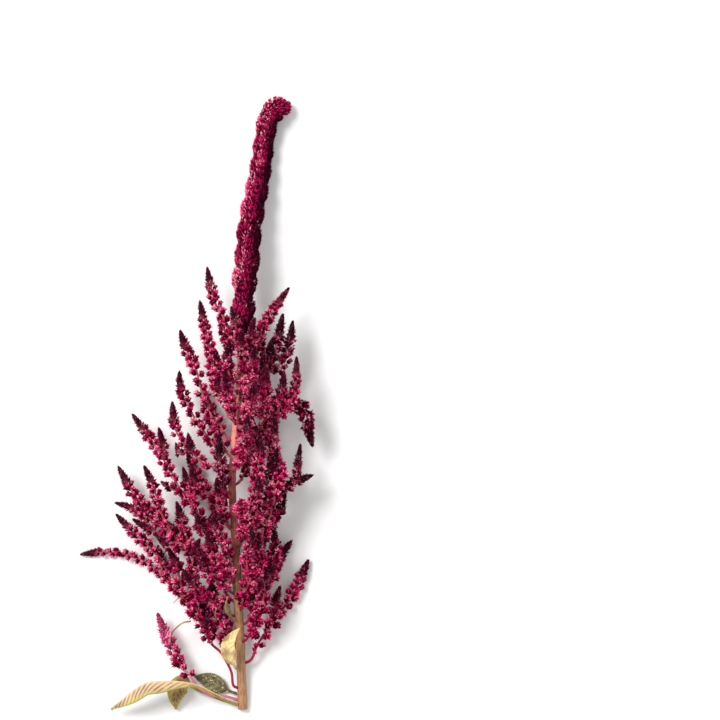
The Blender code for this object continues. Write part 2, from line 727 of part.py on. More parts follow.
def spike_rings(spike, line, radii, parent, draw):
    """Rings of points round a spike: pointed florets in staggered rows, in beads near the foot."""
    run = run_along(line)
    places = ring_runs(spike, run[-1])
    centres = at_runs(line, places)
    outer = np.interp(places, run, radii)
    seat = None if parent else seat_direction(line[0])
    ahead, across, up = frames(np.vstack([centres, line[-1:]]), seat)
    first_close = (spike.bare + spike.beaded * (1 - spike.bare)) * run[-1]
    rings = []
    count = len(places)
    for k, (place, centre, radius) in enumerate(zip(places, centres, outer)):
        from_tip = count - k
        if k == 0 or place < spike.bare * run[-1]:
            heights = [TWIG_RADIUS] * SPIKE_SIDES
            sway = 0.0
            forward = 0.0
        else:
            close = 1.0 if place > first_close else 0.0
            knot = from_tip % 2 == 1
            beads = (1.0, LOW_FLORET) if knot else (WAIST, WAIST)
            heads = (1.0, VALLEY)
            heights = []
            for j in range(SPIKE_SIDES):
                odd = (from_tip + j) % 2
                share = close * heads[odd] + (1 - close) * beads[(j + k) % 2]
                share *= draw.uniform(*SPIKE_UNEVENNESS)
                heights.append(max(min(TWIG_RADIUS * 0.8, radius), radius * share))
            sway = 0.0 if close or not knot else KNOT_SWAY * radius
            forward = FORWARD * KNOT_PITCH
        lean = GOLDEN_ANGLE * (from_tip // 2)
        middle = centre + sway * (math.cos(lean) * across[k] + math.sin(lean) * up[k])
        reach = max(heights)
        shrink = 1 - sway / max(radius, 0.1)
        ring = []
        for j, height in enumerate(heights):
            turn = math.tau * j / SPIKE_SIDES
            out = math.cos(turn) * across[k] + math.sin(turn) * up[k]
            leads = height >= 0.9 * reach and k < count - 1
            ring.append(middle + height * shrink * out + ahead[k] * forward * leads)
        rings.append(ring)
    return rings, line[-1]


def object_of(bm, name, collection):
    """The finished mesh as an object in the collection, shaded smooth between its creases."""
    mesh = bpy.data.meshes.new(name)
    bm.to_mesh(mesh)
    bm.free()
    mesh.shade_smooth()
    mesh.set_sharp_from_angle(angle=SHARP_ANGLE)
    piece = bpy.data.objects.new(name, mesh)
    collection.objects.link(piece)
    return piece


def paint(piece, colour, roughness=0.75):
    """Gives the piece a material of its own."""
    material = bpy.data.materials.new(piece.name)
    material.use_nodes = True
    shader = material.node_tree.nodes["Principled BSDF"]
    shader.inputs["Base Color"].default_value = (*colour, 1)
    shader.inputs["Roughness"].default_value = roughness
    shader.inputs["Metallic"].default_value = 0.0
    piece.data.materials.clear()
    piece.data.materials.append(material)


def fused(pieces, name):
    """The pieces joined by one Boolean union, applied, with only the outer shell kept."""
    body, *others = pieces
    if others:
        joined = bpy.data.collections.new(name + "_spikes")
        bpy.context.scene.collection.children.link(joined)
        for other in others:
            for home in list(other.users_collection):
                home.objects.unlink(other)
            joined.objects.link(other)
        union = body.modifiers.new("Fuse", "BOOLEAN")
        union.operation = "UNION"
        union.operand_type = "COLLECTION"
        union.collection = joined
        union.solver = "EXACT"
        graph = bpy.context.evaluated_depsgraph_get()
        mesh = bpy.data.meshes.new_from_object(body.evaluated_get(graph), depsgraph=graph)
        body.modifiers.clear()
        body.data = mesh
        for other in others:
            bpy.data.objects.remove(other)
        bpy.data.collections.remove(joined)
    body.name = name
    body.data.name = name
    keep_outer_shell(body.data)
    return body


def keep_outer_shell(mesh):
    """Merges doubles and drops every closed shell but the largest, with the hollows it may seal."""
    bm = bmesh.new()
    bm.from_mesh(mesh)
    bmesh.ops.remove_doubles(bm, verts=bm.verts[:], dist=MERGE_DISTANCE * MM)
    left = set(bm.verts)
    shells = []
    while left:
        shell = {left.pop()}
        edge = list(shell)
        while edge:
            near = {other for vert in edge for link in vert.link_edges for other in link.verts}
            edge = list(near - shell)
            shell |= near
        left -= shell
        shells.append(shell)
    shells.sort(key=len)
    for shell in shells[:-1]:
        bmesh.ops.delete(bm, geom=list(shell), context="VERTS")
    bmesh.ops.triangulate(bm, faces=bm.faces[:])
    bm.to_mesh(mesh)
    bm.free()


def flatten_on_surface(mesh):
    """Presses what lies below the surface flat onto it."""
    for vert in mesh.vertices:
        vert.co.z = max(vert.co.z, 0.0)


def build_stem(collection):
    """The main stem: one tapered tube with flat ends."""
    line = smooth_line(STEM_LINE, STEM_PITCH)
    run = run_along(line)
    ahead, across, up = frames(line)
    rings = []
    for k, centre in enumerate(line):
        radius = STEM_FOOT_RADIUS + (STEM_TOP_RADIUS - STEM_FOOT_RADIUS) * run[k] / run[-1]
        turns = [math.tau * j / STEM_SIDES for j in range(STEM_SIDES)]
        rings.append([centre + radius * (math.cos(t) * across[k] + math.sin(t) * up[k]) for t in turns])
    stem = object_of(lofted(rings), "main_stem", collection)
    flatten_on_surface(stem.data)
    paint(stem, STEM_COLOUR, 0.6)


def build_terminal_spike(collection):
    """The terminal spike: rows of knots of florets raised from one tube, hooked over at its tip."""
    draw = random.Random(11)
    line = smooth_line(TERMINAL_LINE, KNOT_PITCH)
    run = run_along(line) / run_along(line)[-1]
    ahead, across, up = frames(line)
    rings = []
    for k, centre in enumerate(line[:-1]):
        radius = terminal_radius(run[k])
        ring = []
        for j in range(TERMINAL_SIDES):
            turn = math.tau * j / TERMINAL_SIDES
            floret = 1.0 if (k + j) % 2 else TERMINAL_VALLEY
            column = round(LUMP_COLUMNS * j / TERMINAL_SIDES) % LUMP_COLUMNS
            phase = math.tau * (k * KNOT_PITCH / LUMP_LENGTH + column * GOLDEN_SHARE)
            lump = 1 - LUMP_DEPTH + LUMP_DEPTH * math.cos(phase)
            height = radius * floret * lump * draw.uniform(*TERMINAL_UNEVENNESS)
            forward = FORWARD * KNOT_PITCH * (floret == 1.0) * (k > 0)
            ring.append(
                centre
                + height * (math.cos(turn) * across[k] + math.sin(turn) * up[k])
                + ahead[k] * forward
            )
        rings.append(ring)
    spike = object_of(lofted(rings, line[-1] + ahead[-1] * TIP_POINT), "terminal_spike", collection)
    flatten_on_surface(spike.data)
    paint(spike, FLORET_COLOUR)


def build_sprays(collection):
    """Each side spray: its spikes lofted, then joined in one body."""
    layout = lay_out()
    for number, spray in enumerate(SPRAYS):
        draw = random.Random(100 + number)
        pieces = []
        for owner, spike, line, radii, parent in layout:
            if owner == spray:
                rings, tip = spike_rings(spike, line, radii, parent, draw)
                pieces.append(object_of(lofted(rings, tip), f"{spray}_spike", collection))
        body = fused(pieces, spray)
        if spray in BEARING:
            flatten_on_surface(body.data)
        if spray in PINK_SPRAYS:
            paint(body, PINK_FLORET_COLOUR)
        elif spray in DARK_SPRAYS:
            paint(body, DARK_FLORET_COLOUR)
        else:
            paint(body, FLORET_COLOUR)


def blade_shape(blade, share):
    """A leaf's width at a share of its length: a slim petiole, then a lance shape."""
    place = min(max((share - blade.petiole) / (1 - blade.petiole), 0.0), 1.0)
    swell = max(math.sin(math.pi * place**blade.skew), 0.0) ** BLADE_BLUNTNESS
    return max(PETIOLE_WIDTH, swell)


def build_leaf(name, blade, collection):
    """A folded, waved blade along its midrib, with a wall of even thickness."""
    line = smooth_line(rooted(blade.height, blade.line), FINE_STEP)
    steps = round(max(8, min(14, run_along(line)[-1] / BLADE_PITCH)))
    line = evenly(line, run_along(line)[-1] / steps)
    ahead, across, up = frames(line, seat_direction(line[0]))
    bm = bmesh.new()
    bmesh.ops.create_grid(bm, x_segments=BLADE_COLUMNS, y_segments=steps, size=1.0)
    for vert in bm.verts:
        k = round((vert.co.y + 1) / 2 * steps)
        side = vert.co.x
        shape = blade_shape(blade, k / steps)
        width = blade.width / 2 * shape
        turned = across[k] * math.cos(blade.turn) + up[k] * math.sin(blade.turn)
        lifted = up[k] * math.cos(blade.turn) - across[k] * math.sin(blade.turn)
        wave = blade.waves * side**2 * math.sin(WAVE_STEP * k) * shape
        rise = blade.fold * abs(side) * width + wave
        vert.co = Vector(line[k] + turned * side * width + lifted * rise) * MM
    bmesh.ops.triangulate(bm, faces=bm.faces[:])
    leaf = object_of(bm, name, collection)
    wall = leaf.modifiers.new("Wall", "SOLIDIFY")
    wall.thickness = BLADE_THICKNESS * MM
    wall.offset = 0.0
    paint(leaf, blade.colour, 0.6)


def main():
    for piece in list(bpy.data.objects):
        bpy.data.objects.remove(piece)
    collection = bpy.data.collections.new("amaranth_seed_head")
    bpy.context.scene.collection.children.link(collection)
    build_stem(collection)
    build_terminal_spike(collection)
    build_sprays(collection)
    for name, blade in LEAVES.items():
        build_leaf(name, blade, collection)


main()
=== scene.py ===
"""Looks of a cut amaranth seed head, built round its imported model.

Every spray is a twig that carries knots of small pointed bracts, close together at its tip and
spaced like beads near its foot. The stem is ribbed, and the leaves have a midrib and side veins.
+Y runs up the head to its tip, +X to its right, and +Z up from the surface that it lies on.
The layout is in millimetres, and the pieces in metres.
"""

import json
import math
from dataclasses import dataclass

import bmesh
import bpy
import numpy as np
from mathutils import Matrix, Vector

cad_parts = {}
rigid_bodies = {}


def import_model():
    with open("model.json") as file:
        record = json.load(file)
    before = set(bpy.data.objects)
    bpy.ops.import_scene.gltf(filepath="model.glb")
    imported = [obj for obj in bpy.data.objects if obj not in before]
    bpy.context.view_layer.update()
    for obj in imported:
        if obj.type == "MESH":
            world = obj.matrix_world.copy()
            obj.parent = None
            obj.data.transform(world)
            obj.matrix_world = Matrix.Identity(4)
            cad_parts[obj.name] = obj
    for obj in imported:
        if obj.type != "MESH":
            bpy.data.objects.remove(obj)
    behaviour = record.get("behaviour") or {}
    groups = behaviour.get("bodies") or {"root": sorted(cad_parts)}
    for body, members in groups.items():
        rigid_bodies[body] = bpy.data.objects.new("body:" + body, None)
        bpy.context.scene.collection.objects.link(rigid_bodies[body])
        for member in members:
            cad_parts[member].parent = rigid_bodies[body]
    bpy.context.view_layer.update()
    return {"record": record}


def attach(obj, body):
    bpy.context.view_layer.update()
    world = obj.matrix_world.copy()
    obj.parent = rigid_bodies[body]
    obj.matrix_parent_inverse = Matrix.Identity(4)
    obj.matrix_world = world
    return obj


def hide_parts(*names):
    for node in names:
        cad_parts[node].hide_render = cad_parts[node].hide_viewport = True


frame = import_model()

bl_info = {
    "name": "Amaranth seed head",
    "version": (1, 0, 0),
    "blender": (4, 5, 0),
    "location": "3D View > Sidebar > Amaranth",
    "description": "Builds the stem, the floret spikes, the leaves and the stage of a seed head",
    "category": "Add Mesh",
}

MM = 0.001

# Sizes of the layout, in millimetres
TWIG_RADIUS = 1.3
STEM_FOOT_RADIUS = 4.3
STEM_TOP_RADIUS = 2.8
TERMINAL_RADIUS = 11.2
LEAST_RADIUS = 0.4
SEAT_GAP = 0.3
FOOT_RUN = 1.8
FOOT_RISE = 0.5
FINE_STEP = 2.5
# Points that a curve gets from one given point to the next
CURVE_STEPS = 12

# Outline of a side spike: the length of its drawn-in tip in millimetres, and the rest as shares
TIP_TAPER = 21.0
LONGEST_TAPER = 0.6
TAPER_POWER = 0.62
TIP_FULLNESS = 0.12
FOOT_FULLNESS = 1.42
SWELL_START = 0.8
SWELL_SHARE = 0.14

# Spacing of the sprays, in millimetres
SETTLE_STEP = 4.0
CLEARANCE = 1.3
PAIR_REACH = 36.0
ROOT_LENGTH = 6.0
STIFF_LENGTH = 18.0
LARGEST_MOVE = 1.0
FLOOR_CLEARANCE = 0.7
STEM_ROOM = 0.2
BLADE_ROOM = 0.5
MERGE_DISTANCE = 0.001

# Spacing of the sprays, as rounds and shares
SETTLE_ROUNDS = 200
SMOOTH_ROUNDS = 3
PUSH_SHARE = 0.35
SAME_SPRAY_SHARE = 0.7
TERMINAL_ROOM = 1.05
BLADE_REACH = 0.3
SETTLE_AXES = np.array([0.3, 0.3, 1.0])
HOMING = np.array([0.05, 0.05, 0.01])

# Seeds of what varies by chance: in the terminal spike, and in the first spray
TERMINAL_SEED = 11
SPRAY_SEED = 300

# Knots of florets on a side spike, close together or like beads: their radius and their spacing as
# shares of the spike's radius, and how deep their middle lies as a share of their own radius
CLOSE_KNOTS = (0.56, 0.3, 0.95)
BEADED_KNOTS = (0.56, 0.5, 1.05)
KNOT_UNEVENNESS = (0.84, 1.12)
LEAST_PITCH = 0.9
LEAST_SPIKE = 1.5
GOLDEN_ANGLE = math.radians(137.5)

# Bracts of a knot: how far round it they reach, how far they lean up the spike, and how far out
# they stand and how long they are against the knot's radius. Its heart shows between them.
CAP_REACH = math.radians(104)
BRACT_LEAN = 0.85
BRACT_OUTREACH = 1.13
BRACT_KNOT_SHARE = 1.05
LEAST_BRACTS = 9
HEART_SHARE = 0.66
NUDGE = np.array([0.01, 0.02, 0.03])

# How bracts vary: in size, in direction and in tone, part of which a knot or a lump shares. A few
# have dried to straw.
BRACT_UNEVENNESS = (0.75, 1.2)
BRACT_JITTER = 0.16
SHARED_TONE = 0.35
HEART_TONE = 0.3
STRAW_CHANCE = 0.012
STRAW_TONE = -1.0

# Rings of a bract from its foot to its tip: their heights and widths as shares, and its sides
BRACT_RINGS = ((0.3, 1.0), (0.7, 0.52))
BRACT_SIDES = 4

# Lengths in millimetres over which a spike's end turns its bracts ahead, slims to a point, takes
# finer bracts and darkens
TIP_TURN_LENGTH = 9.0
POINT_LENGTH = 9.0
FINE_REACH = 34.0
DARK_TIP = 36.0

# Bracts that sheathe a close spike like scales: how far they lean, and turn ahead at the tip, how
# long they are against the spike's radius, and their least length and radius in millimetres
SHEATH_LEAN = 0.75
TIP_TURN = 1.6
SHEATH_SHORTNESS = 0.5
SHEATH_LEAST_LENGTH = 0.9
LEAST_SHEATH = 1.2

# A side spike's sheath is slimmer than its outline, most at its tip, where one last bract reaches
# past it by a length in millimetres
TIP_SLIMNESS = 0.93
POINT_SLIMNESS = 0.38
POINT_REACH = 1.6

# Lumps of a sheath: how far out they stand, where round the spike the first begins, how far each
# is moved along from the one beside it, how round they are, and the furrows between them
LUMP_REACH = 1.05
LUMP_START = 0.25
LUMP_OFFSET = 0.382
LUMP_ROUNDNESS = 0.5
FURROW_SHARE = 0.5
FURROW_SHARPNESS = 3

# The terminal spike: its blunt end, its core, and how much painted shade darkens its right side
TERMINAL_CAP = 3.0
TERMINAL_CAP_SHARE = 0.45
TERMINAL_CORE = 1.24
SHADED_SIDE = 0.7
SHADE_OFFSET = 0.15

# A twig: its sides and the spacing of its rings, how slim it is at its tip, how it fills out under
# close florets, and how far it goes into the stem
TWIG_SIDES = 8
TWIG_STEP = 2.6
TWIG_TIP_SHARE = 0.55
CORE_SHARE = 0.62
CORE_RISE = 5.0
TWIG_INTO_STEM = 1.2

# The stem: its sides and the spacing of its rings, its swollen nodes and its cut end
STEM_SIDES = 36
STEM_STEP = 2.0
NODE_SWELL = 0.35
NODE_SPREAD = 3.2
PITH_RIM = 1.1
PITH_DEPTH = -0.5
SHARP_ANGLE = math.radians(50)

# Leaf blades: their columns and the spacing of their rows, how wide the petiole and how blunt the
# blade is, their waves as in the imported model, and the spacing, width and fading of their veins
BLADE_COLUMNS = 24
BLADE_STEP = 1.3
PETIOLE_WIDTH = 0.16
BLADE_BLUNTNESS = 0.85
WAVE_PITCH = 8.0
WAVE_LIMITS = (8, 14)
WAVE_STEP = 2.1
VEIN_SPACING = 6.0
VEIN_SHARPNESS = 1.6
VEIN_FULLNESS = 1.5
MIDRIB_WIDTH = 0.09

# Dry stalks: their lines and radii, their sides and the spacing of their rings, how they taper and
# how green they are marked
DRY_STALKS = (
    (((-8, -197, 27), (-14, -198, 28), (-21, -203, 27), (-26, -210, 24), (-27, -217, 21)), 0.65),
    (((-12, -174, 22), (-18, -176, 23), (-24, -181, 22)), 0.5),
    (((16, -182, 30), (14, -190, 31), (15, -197, 30)), 0.6),
)
STALK_SIDES = 7
STALK_STEP = 1.5
STALK_TAPER = (1.25, 0.7)
STALK_MARGIN = 0.6

# Fine dry surfaces: their grain in cells a metre, their roughness from low to high, the depth of
# their bump in metres and their specular level
SURFACES = {
    "floret": (1400.0, (0.5, 0.75), 0.00025, 0.01),
    "twig": (900.0, (0.45, 0.7), 0.0002, 0.05),
    "stem": (800.0, (0.4, 0.65), 0.0003, 0.5),
    "pith": (2200.0, (0.75, 0.95), 0.0004, 0.5),
    "leaf": (1100.0, (0.5, 0.7), 0.0002, 0.5),
}

# Patterns of noise: their scale in cells a metre, their detail, how much they are drawn out along
# Y and, where they have clear edges, the levels between which they turn
PATTERNS = {
    "floret_patches": (38.0, 2.0, 1),
    "twig_streaks": (700.0, 3.0, 0.2),
    "stem_sway": (60.0, 2.0, 1),
    "stem_streaks": (1300.0, 3.0, 0.03, 0.46, 0.66),
    "pith_pores": (2200.0, 4.0, 1, 0.35, 0.6),
    "leaf_patches": (90.0, 4.0, 1, 0.38, 0.66),
    "leaf_spots": (520.0, 2.0, 1, 0.58, 0.68),
}
GRAIN_DETAIL = 5.0

# A bract's tone: how far it is spread, where it starts and how far patches shift it. Then the tones
# over which a bract turns from its deep colour to its body colour and on to its bright one, over
# which its tip takes a painted highlight, and over which its tip pales, partly its own pale tip and
# partly painted highlight.
TONE_SPREAD = 1.5
TONE_START = -0.48
PATCH_SHIFT = 0.5
BODY_TONES = (0.0, 0.5)
BRIGHT_TONES = (0.5, 0.95)
TIP_HIGHLIGHT_TONES = (-0.3, 0.5)
PALE_TONES = (0.62, 0.82)
# How strong the painted highlight on its tip is and how sharp it is, how strong its palest tip is
# (partly its own pale tip, partly painted highlight), how strong the painted shade at its base is
# and its darkening with age and with painted shade, the part of it that takes the painted shade of
# its base, the ages and painted shades over which it darkens, and those over which a pink spike
# turns pink
TIP_HIGHLIGHT = 0.45
TIP_SHARPNESS = 2.0
PALE_TIP_AND_HIGHLIGHT = 0.95
BASE_SHADE = 0.7
AGE_AND_SHADE_DARKENING = 0.7
BASE_SHADE_REACH = (0.0, 0.7)
DARKENING_SPAN = (0.1, 0.8)
PINK_AGES = (-0.35, 0.35)

# Heights along Y, in metres, over which the stem turns to its middle's colour and to its top's and
# the twigs turn fresh, and how far the stem's heights sway
MIDDLE_HEIGHTS = (-0.20, -0.10)
TOP_HEIGHTS = (-0.075, -0.05)
FRESH_HEIGHTS = (-0.2, -0.12)
HEIGHT_SWAY = 0.05
# How strong the stem's streaks and furrows are, how pale pink twigs are, and the shade of a twig's
# streaks and of the pith's pores against their own colour
STEM_STREAKS = 0.55
STEM_FURROWS = 0.5
TWIG_PALENESS = 1.3
TWIG_STREAKS = 1.7
PITH_PORES = 0.55

# A blade's darker and lighter patches as shares of its colour, and how its margins turn green
BLADE_PATCHES = ((0.36, 0.21, 0.13), (0.9, 0.74, 0.6))
MARGIN_PATCHES = 0.3
MARGIN_REACH = (0.5, 1.05)

# The photograph's frame: its middle on the surface and its side, and how high the camera stands
VIEW_MIDDLE = (0.14355, 0.0369)
VIEW_SIDE = 0.648
CAMERA_HEIGHT = 5.0
SENSOR = 36.0
# How far the floor reaches each way and how rough it is, and where the key light comes from and
# how wide it is
FLOOR_REACH = 8.0
FLOOR_ROUGHNESS = 0.9
KEY_FROM = (-0.5, 0.4, 0.85)
KEY_WIDTH = math.radians(24)

# Lines of the stem and of the terminal spike, foot to tip
STEM_LINE = (
    (38, -277, 3.9), (37, -250, 8), (36, -215, 14), (34, -179, 20), (33, -143, 26), (31, -107, 31),
    (29, -71, 35), (31, -44, 37), (33, -17, 39), (36, 19, 40), (37.6, 48, 39.4), (38.2, 59, 39),
)
TERMINAL_LINE = (
    (38.2, 59.4, 39), (39, 74, 37.4), (40, 91, 35.5), (40.5, 109, 32.5), (42.6, 127, 29),
    (43.7, 145, 25.5), (45.9, 163, 21.5), (49.3, 181, 17.5), (52.7, 199, 13.5), (55.5, 217, 10.2),
    (57.8, 235, 9.6), (59.9, 247.5, 10.4), (63.4, 257.8, 11.2), (70, 263.6, 10.8), (77.5, 263.8, 9),
)
# Radius of the terminal spike at shares of its length
TERMINAL_SHAPE = (
    (0, 0.62), (0.05, 0.95), (0.1, 1.0), (0.15, 0.84), (0.21, 1.08), (0.5, 1.02),
    (0.75, 0.9), (0.86, 0.87), (0.935, 1.02), (0.97, 0.92), (1, 0.6),
)


@dataclass
class Floret:
    """A kind of floret: how far it takes its slot's colour, how pale it is, how open its painted
    shadows are, how much it darkens with age toward a tip and with painted shade, and how long the
    scaly tip of its spikes is."""

    power: float
    paleness: float
    openness: float
    ageing: float
    tip: float


FLORETS = {
    "florets": Floret(1.0, 0.0, 0.0, 1.0, 17.0),
    # dark_florets are a darker copy of the florets' colours: painted shade on the sprays that lie
    # in shade
    "dark_florets": Floret(0.75, 0.0, 0.0, 1.0, 22.0),
    "pink_florets": Floret(0.75, 0.2, 0.16, 0.0, 24.0),
}


@dataclass
class Sheath:
    """A sheath of bracts in lumps: a lump's length against the spike's radius, how many lumps go
    round it, how deep they are, how much room each bract has against one on a knot, and how much
    smaller the bracts get at the tip."""

    pitch: float
    lumps: int
    depth: float
    room: float
    fineness: float = 0.0


SPRAY_SHEATH = Sheath(pitch=0.85, lumps=4, depth=0.5, room=1.4)
TERMINAL_SHEATH = Sheath(pitch=1.85, lumps=5, depth=0.33, room=0.88, fineness=0.3)


@dataclass
class Spike:
    """One spike: its line after the foot, its outer radius, the share of it that is bare and the
    share of the rest that is beaded. One that leaves the spray's first spike has the share of
    that one's line where it starts."""

    line: tuple
    radius: float
    bare: float
    beaded: float
    start: float = None


# Each spray of a side, by its number: where it leaves the stem along Y, then its spikes
LEFT_SPRAYS = {
    1: (54, (((28, 72, 41), (18, 81, 43), (10.3, 103, 42), (7.2, 119, 41)), 5.8, 0.06, 0.5)),
    2: (-17,
        (((21, -4, 44), (14, 18, 47), (10.5, 43, 48), (4, 72, 46), (0.8, 89, 45)), 6.0, 0.08, 0.15),
        (((17, 6, 52), (18, 22, 55)), 5.0, 0.1, 0.4, 0.2)),
    3: (-35,
        (((18, -17, 42), (5.3, 5, 43), (-3.7, 31, 41), (-13, 50, 39), (-17, 63, 38)), 6.6, 0.06,
        0.66),
        (((12, -14, 50), (8, 4, 54)), 5.0, 0.1, 0.6, 0.24)),
    4: (-58,
        (((15, -42, 38), (2, -22, 37), (-10, -4, 35), (-17, 14, 33), (-18, 26, 33)), 6.3, 0.08,
        0.7)),
    5: (-70,
        (((14, -59, 37), (4, -55, 38), (-10, -41, 39), (-20, -28, 40), (-24, -1, 41)), 6.2, 0.16,
        0.7),
        (((-8, -42, 47), (-9.5, -29, 52)), 5.4, 0.1, 0.1, 0.5),
        (((-17, -48, 34), (-21, -38, 32)), 4.8, 0.1, 0.6, 0.5)),
    6: (-82, (((22, -66, 44), (19, -50, 50), (18, -30, 53)), 6.2, 0.12, 0.1)),
    7: (-143,
        (((18, -125, 34), (4, -107, 34), (-10, -89, 33), (-22, -71, 31), (-37.5, -43, 29),
        (-60, -12, 28)), 6.2, 0.1, 0.6),
        (((-32, -41, 38), (-36, -24, 42)), 5.2, 0.1, 0.2, 0.7),
        (((-4, -78, 43), (-7, -56, 47)), 6.6, 0.1, 0.4, 0.4),
        (((5, -116, 46), (-4, -98, 52)), 6.2, 0.1, 0.5, 0.16),
        (((-27, -78, 34), (-34, -72, 35)), 5.4, 0.1, 0.7, 0.5),
        (((-9, -80, 24), (-15, -60, 20)), 6.0, 0.1, 0.5, 0.36)),
    8: (-179,
        (((19, -163, 26), (0, -143, 27), (-23, -121, 26), (-41, -103, 24), (-58, -85, 22),
        (-73, -59, 19)), 6.2, 0.1, 0.55),
        (((-33, -103, 33), (-40, -78, 38), (-49, -58, 41)), 5.8, 0.1, 0.35, 0.5),
        (((-50, -102, 28), (-66, -93.5, 28), (-75, -91, 28)), 5.2, 0.1, 0.4, 0.56),
        (((10, -128, 40), (18, -98, 46)), 6.2, 0.1, 0.1, 0.2),
        (((-14, -112, 36), (-20, -90, 44)), 6.4, 0.1, 0.5, 0.36),
        (((-28, -130, 34), (-38, -120, 38)), 5.6, 0.1, 0.6, 0.4),
        (((-36, -121, 18), (-50, -113, 16), (-60, -106, 15)), 5.8, 0.1, 0.6, 0.42)),
    9: (-257,
        (((28, -242, 14), (19, -226, 16), (8, -207, 17), (-10, -182, 16), (-27, -164, 14),
        (-44, -148, 10), (-63, -138.5, 6), (-79, -136, 4), (-93, -136, 3.6), (-107.5, -138, 3.4)),
        5.6, 0.28, 0.9),
        (((-36, -143, 17), (-46, -128, 20), (-60, -117, 20), (-74.8, -101.8, 18)), 6.0, 0.08, 0.25,
        0.6),
        (((-20, -150, 24), (-26, -130, 30)), 6.8, 0.08, 0.5, 0.48),
        (((-5, -165, 26), (-2, -142, 34), (1, -122, 38)), 6.6, 0.08, 0.5, 0.34),
        (((6, -202, 26), (10, -186, 32)), 5.4, 0.1, 0.4, 0.24),
        (((-12, -179, 12), (-22, -170, 10)), 5.4, 0.1, 0.8, 0.4),
        (((-33, -146, 10), (-38, -130, 8)), 5.6, 0.1, 0.6, 0.52)),
    10: (-268,
        (((20, -266, 9), (5, -262, 13), (-6, -252, 16), (-17, -238, 17), (-26, -219, 17),
        (-33, -204, 16), (-38, -190.5, 15)), 6.6, 0.42, 0.3)),
    11: (-208, (((22, -192, 24), (14, -172, 30), (12, -160, 34)), 6.2, 0.1, 0.4)),
    12: (-162, (((20, -147, 40), (12, -130, 50), (9, -114, 57)), 6.4, 0.1, 0.4)),
    13: (-192, (((18, -180, 30), (0, -168, 38), (-14, -150, 44)), 6.6, 0.1, 0.5)),
    14: (-112,
        (((25, -101, 38), (20, -86, 43), (17, -68, 49)), 5.8, 0.1, 0.5),
        (((19, -106, 47), (12, -98, 52)), 5.2, 0.1, 0.5, 0.2),
        (((22, -80, 51), (23, -68, 56)), 4.8, 0.1, 0.5, 0.5)),
    15: (-172, (((17, -160, 34), (5, -148, 42), (-1, -132, 48)), 6.4, 0.1, 0.5)),
    16: (-218, (((22, -208, 13), (10, -196, 12), (-1, -180, 12)), 6.2, 0.1, 0.5)),
}
RIGHT_SPRAYS = {
    1: (47, (((50, 60, 42), (62, 74, 44), (71.5, 89, 45), (80, 101, 45)), 5.6, 0.08, 0.35)),
    2: (14,
        (((50, 20, 42), (62, 32, 44), (69, 50, 45), (72, 64, 45), (74, 78, 45)), 6.2, 0.08, 0.3),
        (((71, 27, 40), (77, 38, 38), (81, 54, 37), (83.5, 71.5, 36)), 5.6, 0.1, 0.05, 0.3),
        (((62, 40, 54), (66, 56, 60)), 5.8, 0.1, 0.3, 0.4)),
    3: (-40,
        (((55, -26, 44), (70, -14, 46), (80, -4, 47), (85, 8, 47), (87, 39, 45)), 5.4, 0.08, 0.4),
        (((58, -2, 54), (60, 16, 62), (61, 30, 68)), 6.6, 0.1, 0.3, 0.2),
        (((74, 6, 55), (76, 26, 60)), 6.2, 0.1, 0.3, 0.42)),
    4: (-22,
        (((44, -11, 38), (60, -4, 36), (76, -1, 36), (88, -3, 36), (95, -10, 35), (97, -23, 34),
        (101, -40, 32)), 7.4, 0.08, 0.25)),
    5: (-94,
        (((50, -90, 40), (66, -82, 42), (76, -77, 42), (84, -72, 42), (87.5, -58, 42),
        (90.3, -38.6, 42)), 5.0, 0.16, 0.3),
        (((93, -69, 44), (101, -66, 45)), 4.6, 0.1, 0.1, 0.62),
        (((66, -58, 50), (70, -42, 54)), 5.4, 0.1, 0.4, 0.4)),
    6: (-130, (((42, -112, 46), (50, -89, 54), (54, -62, 58), (55, -30, 64)), 7.0, 0.08, 0.5)),
    7: (-161,
        (((46, -140, 36), (56, -115, 42), (63, -89, 46), (67, -62, 46), (66, -35, 46),
        (66, -14, 50)), 6.8, 0.08, 0.5)),
    8: (-172,
        (((48, -150, 26), (58, -125, 30), (66, -98, 33), (69, -71, 33), (71.5, -47, 32)), 6.6, 0.08,
        0.5),
        (((72, -94, 38), (76.5, -78, 41)), 5.2, 0.1, 0.2, 0.5)),
    9: (-200,
        (((46, -180, 24), (56, -160, 24), (62, -140, 23), (66.5, -114, 22)), 6.8, 0.08, 0.5),
        (((62, -158, 31), (64, -141, 34)), 5.6, 0.1, 0.3, 0.45)),
    10: (-235,
        (((52, -217, 14), (70, -193, 8), (86, -168, 5.4), (97, -143, 5.2)), 6.8, 0.1, 0.6),
        (((66, -186, 18), (72, -166, 24)), 6.0, 0.1, 0.5, 0.34)),
    11: (-186,
        (((43, -168, 36), (50, -145, 42), (53, -116, 46)), 7.0, 0.08, 0.5),
        (((43, -146, 46), (46, -128, 54), (47, -110, 60)), 6.0, 0.1, 0.4, 0.36)),
    12: (-215, (((46, -202, 28), (55, -182, 36), (61, -156, 42)), 6.8, 0.08, 0.5)),
    13: (-8, (((48, 6, 48), (56, 24, 56), (58, 44, 62)), 6.4, 0.1, 0.4)),
    14: (-58, (((44, -48, 42), (50, -32, 46), (52, -14, 49)), 6.4, 0.1, 0.4)),
    15: (-120, (((44, -108, 41), (50, -96, 46), (52, -80, 51)), 6.4, 0.1, 0.4)),
    16: (-176, (((45, -167, 21), (57, -150, 19), (62, -134, 18)), 6.4, 0.1, 0.5)),
}
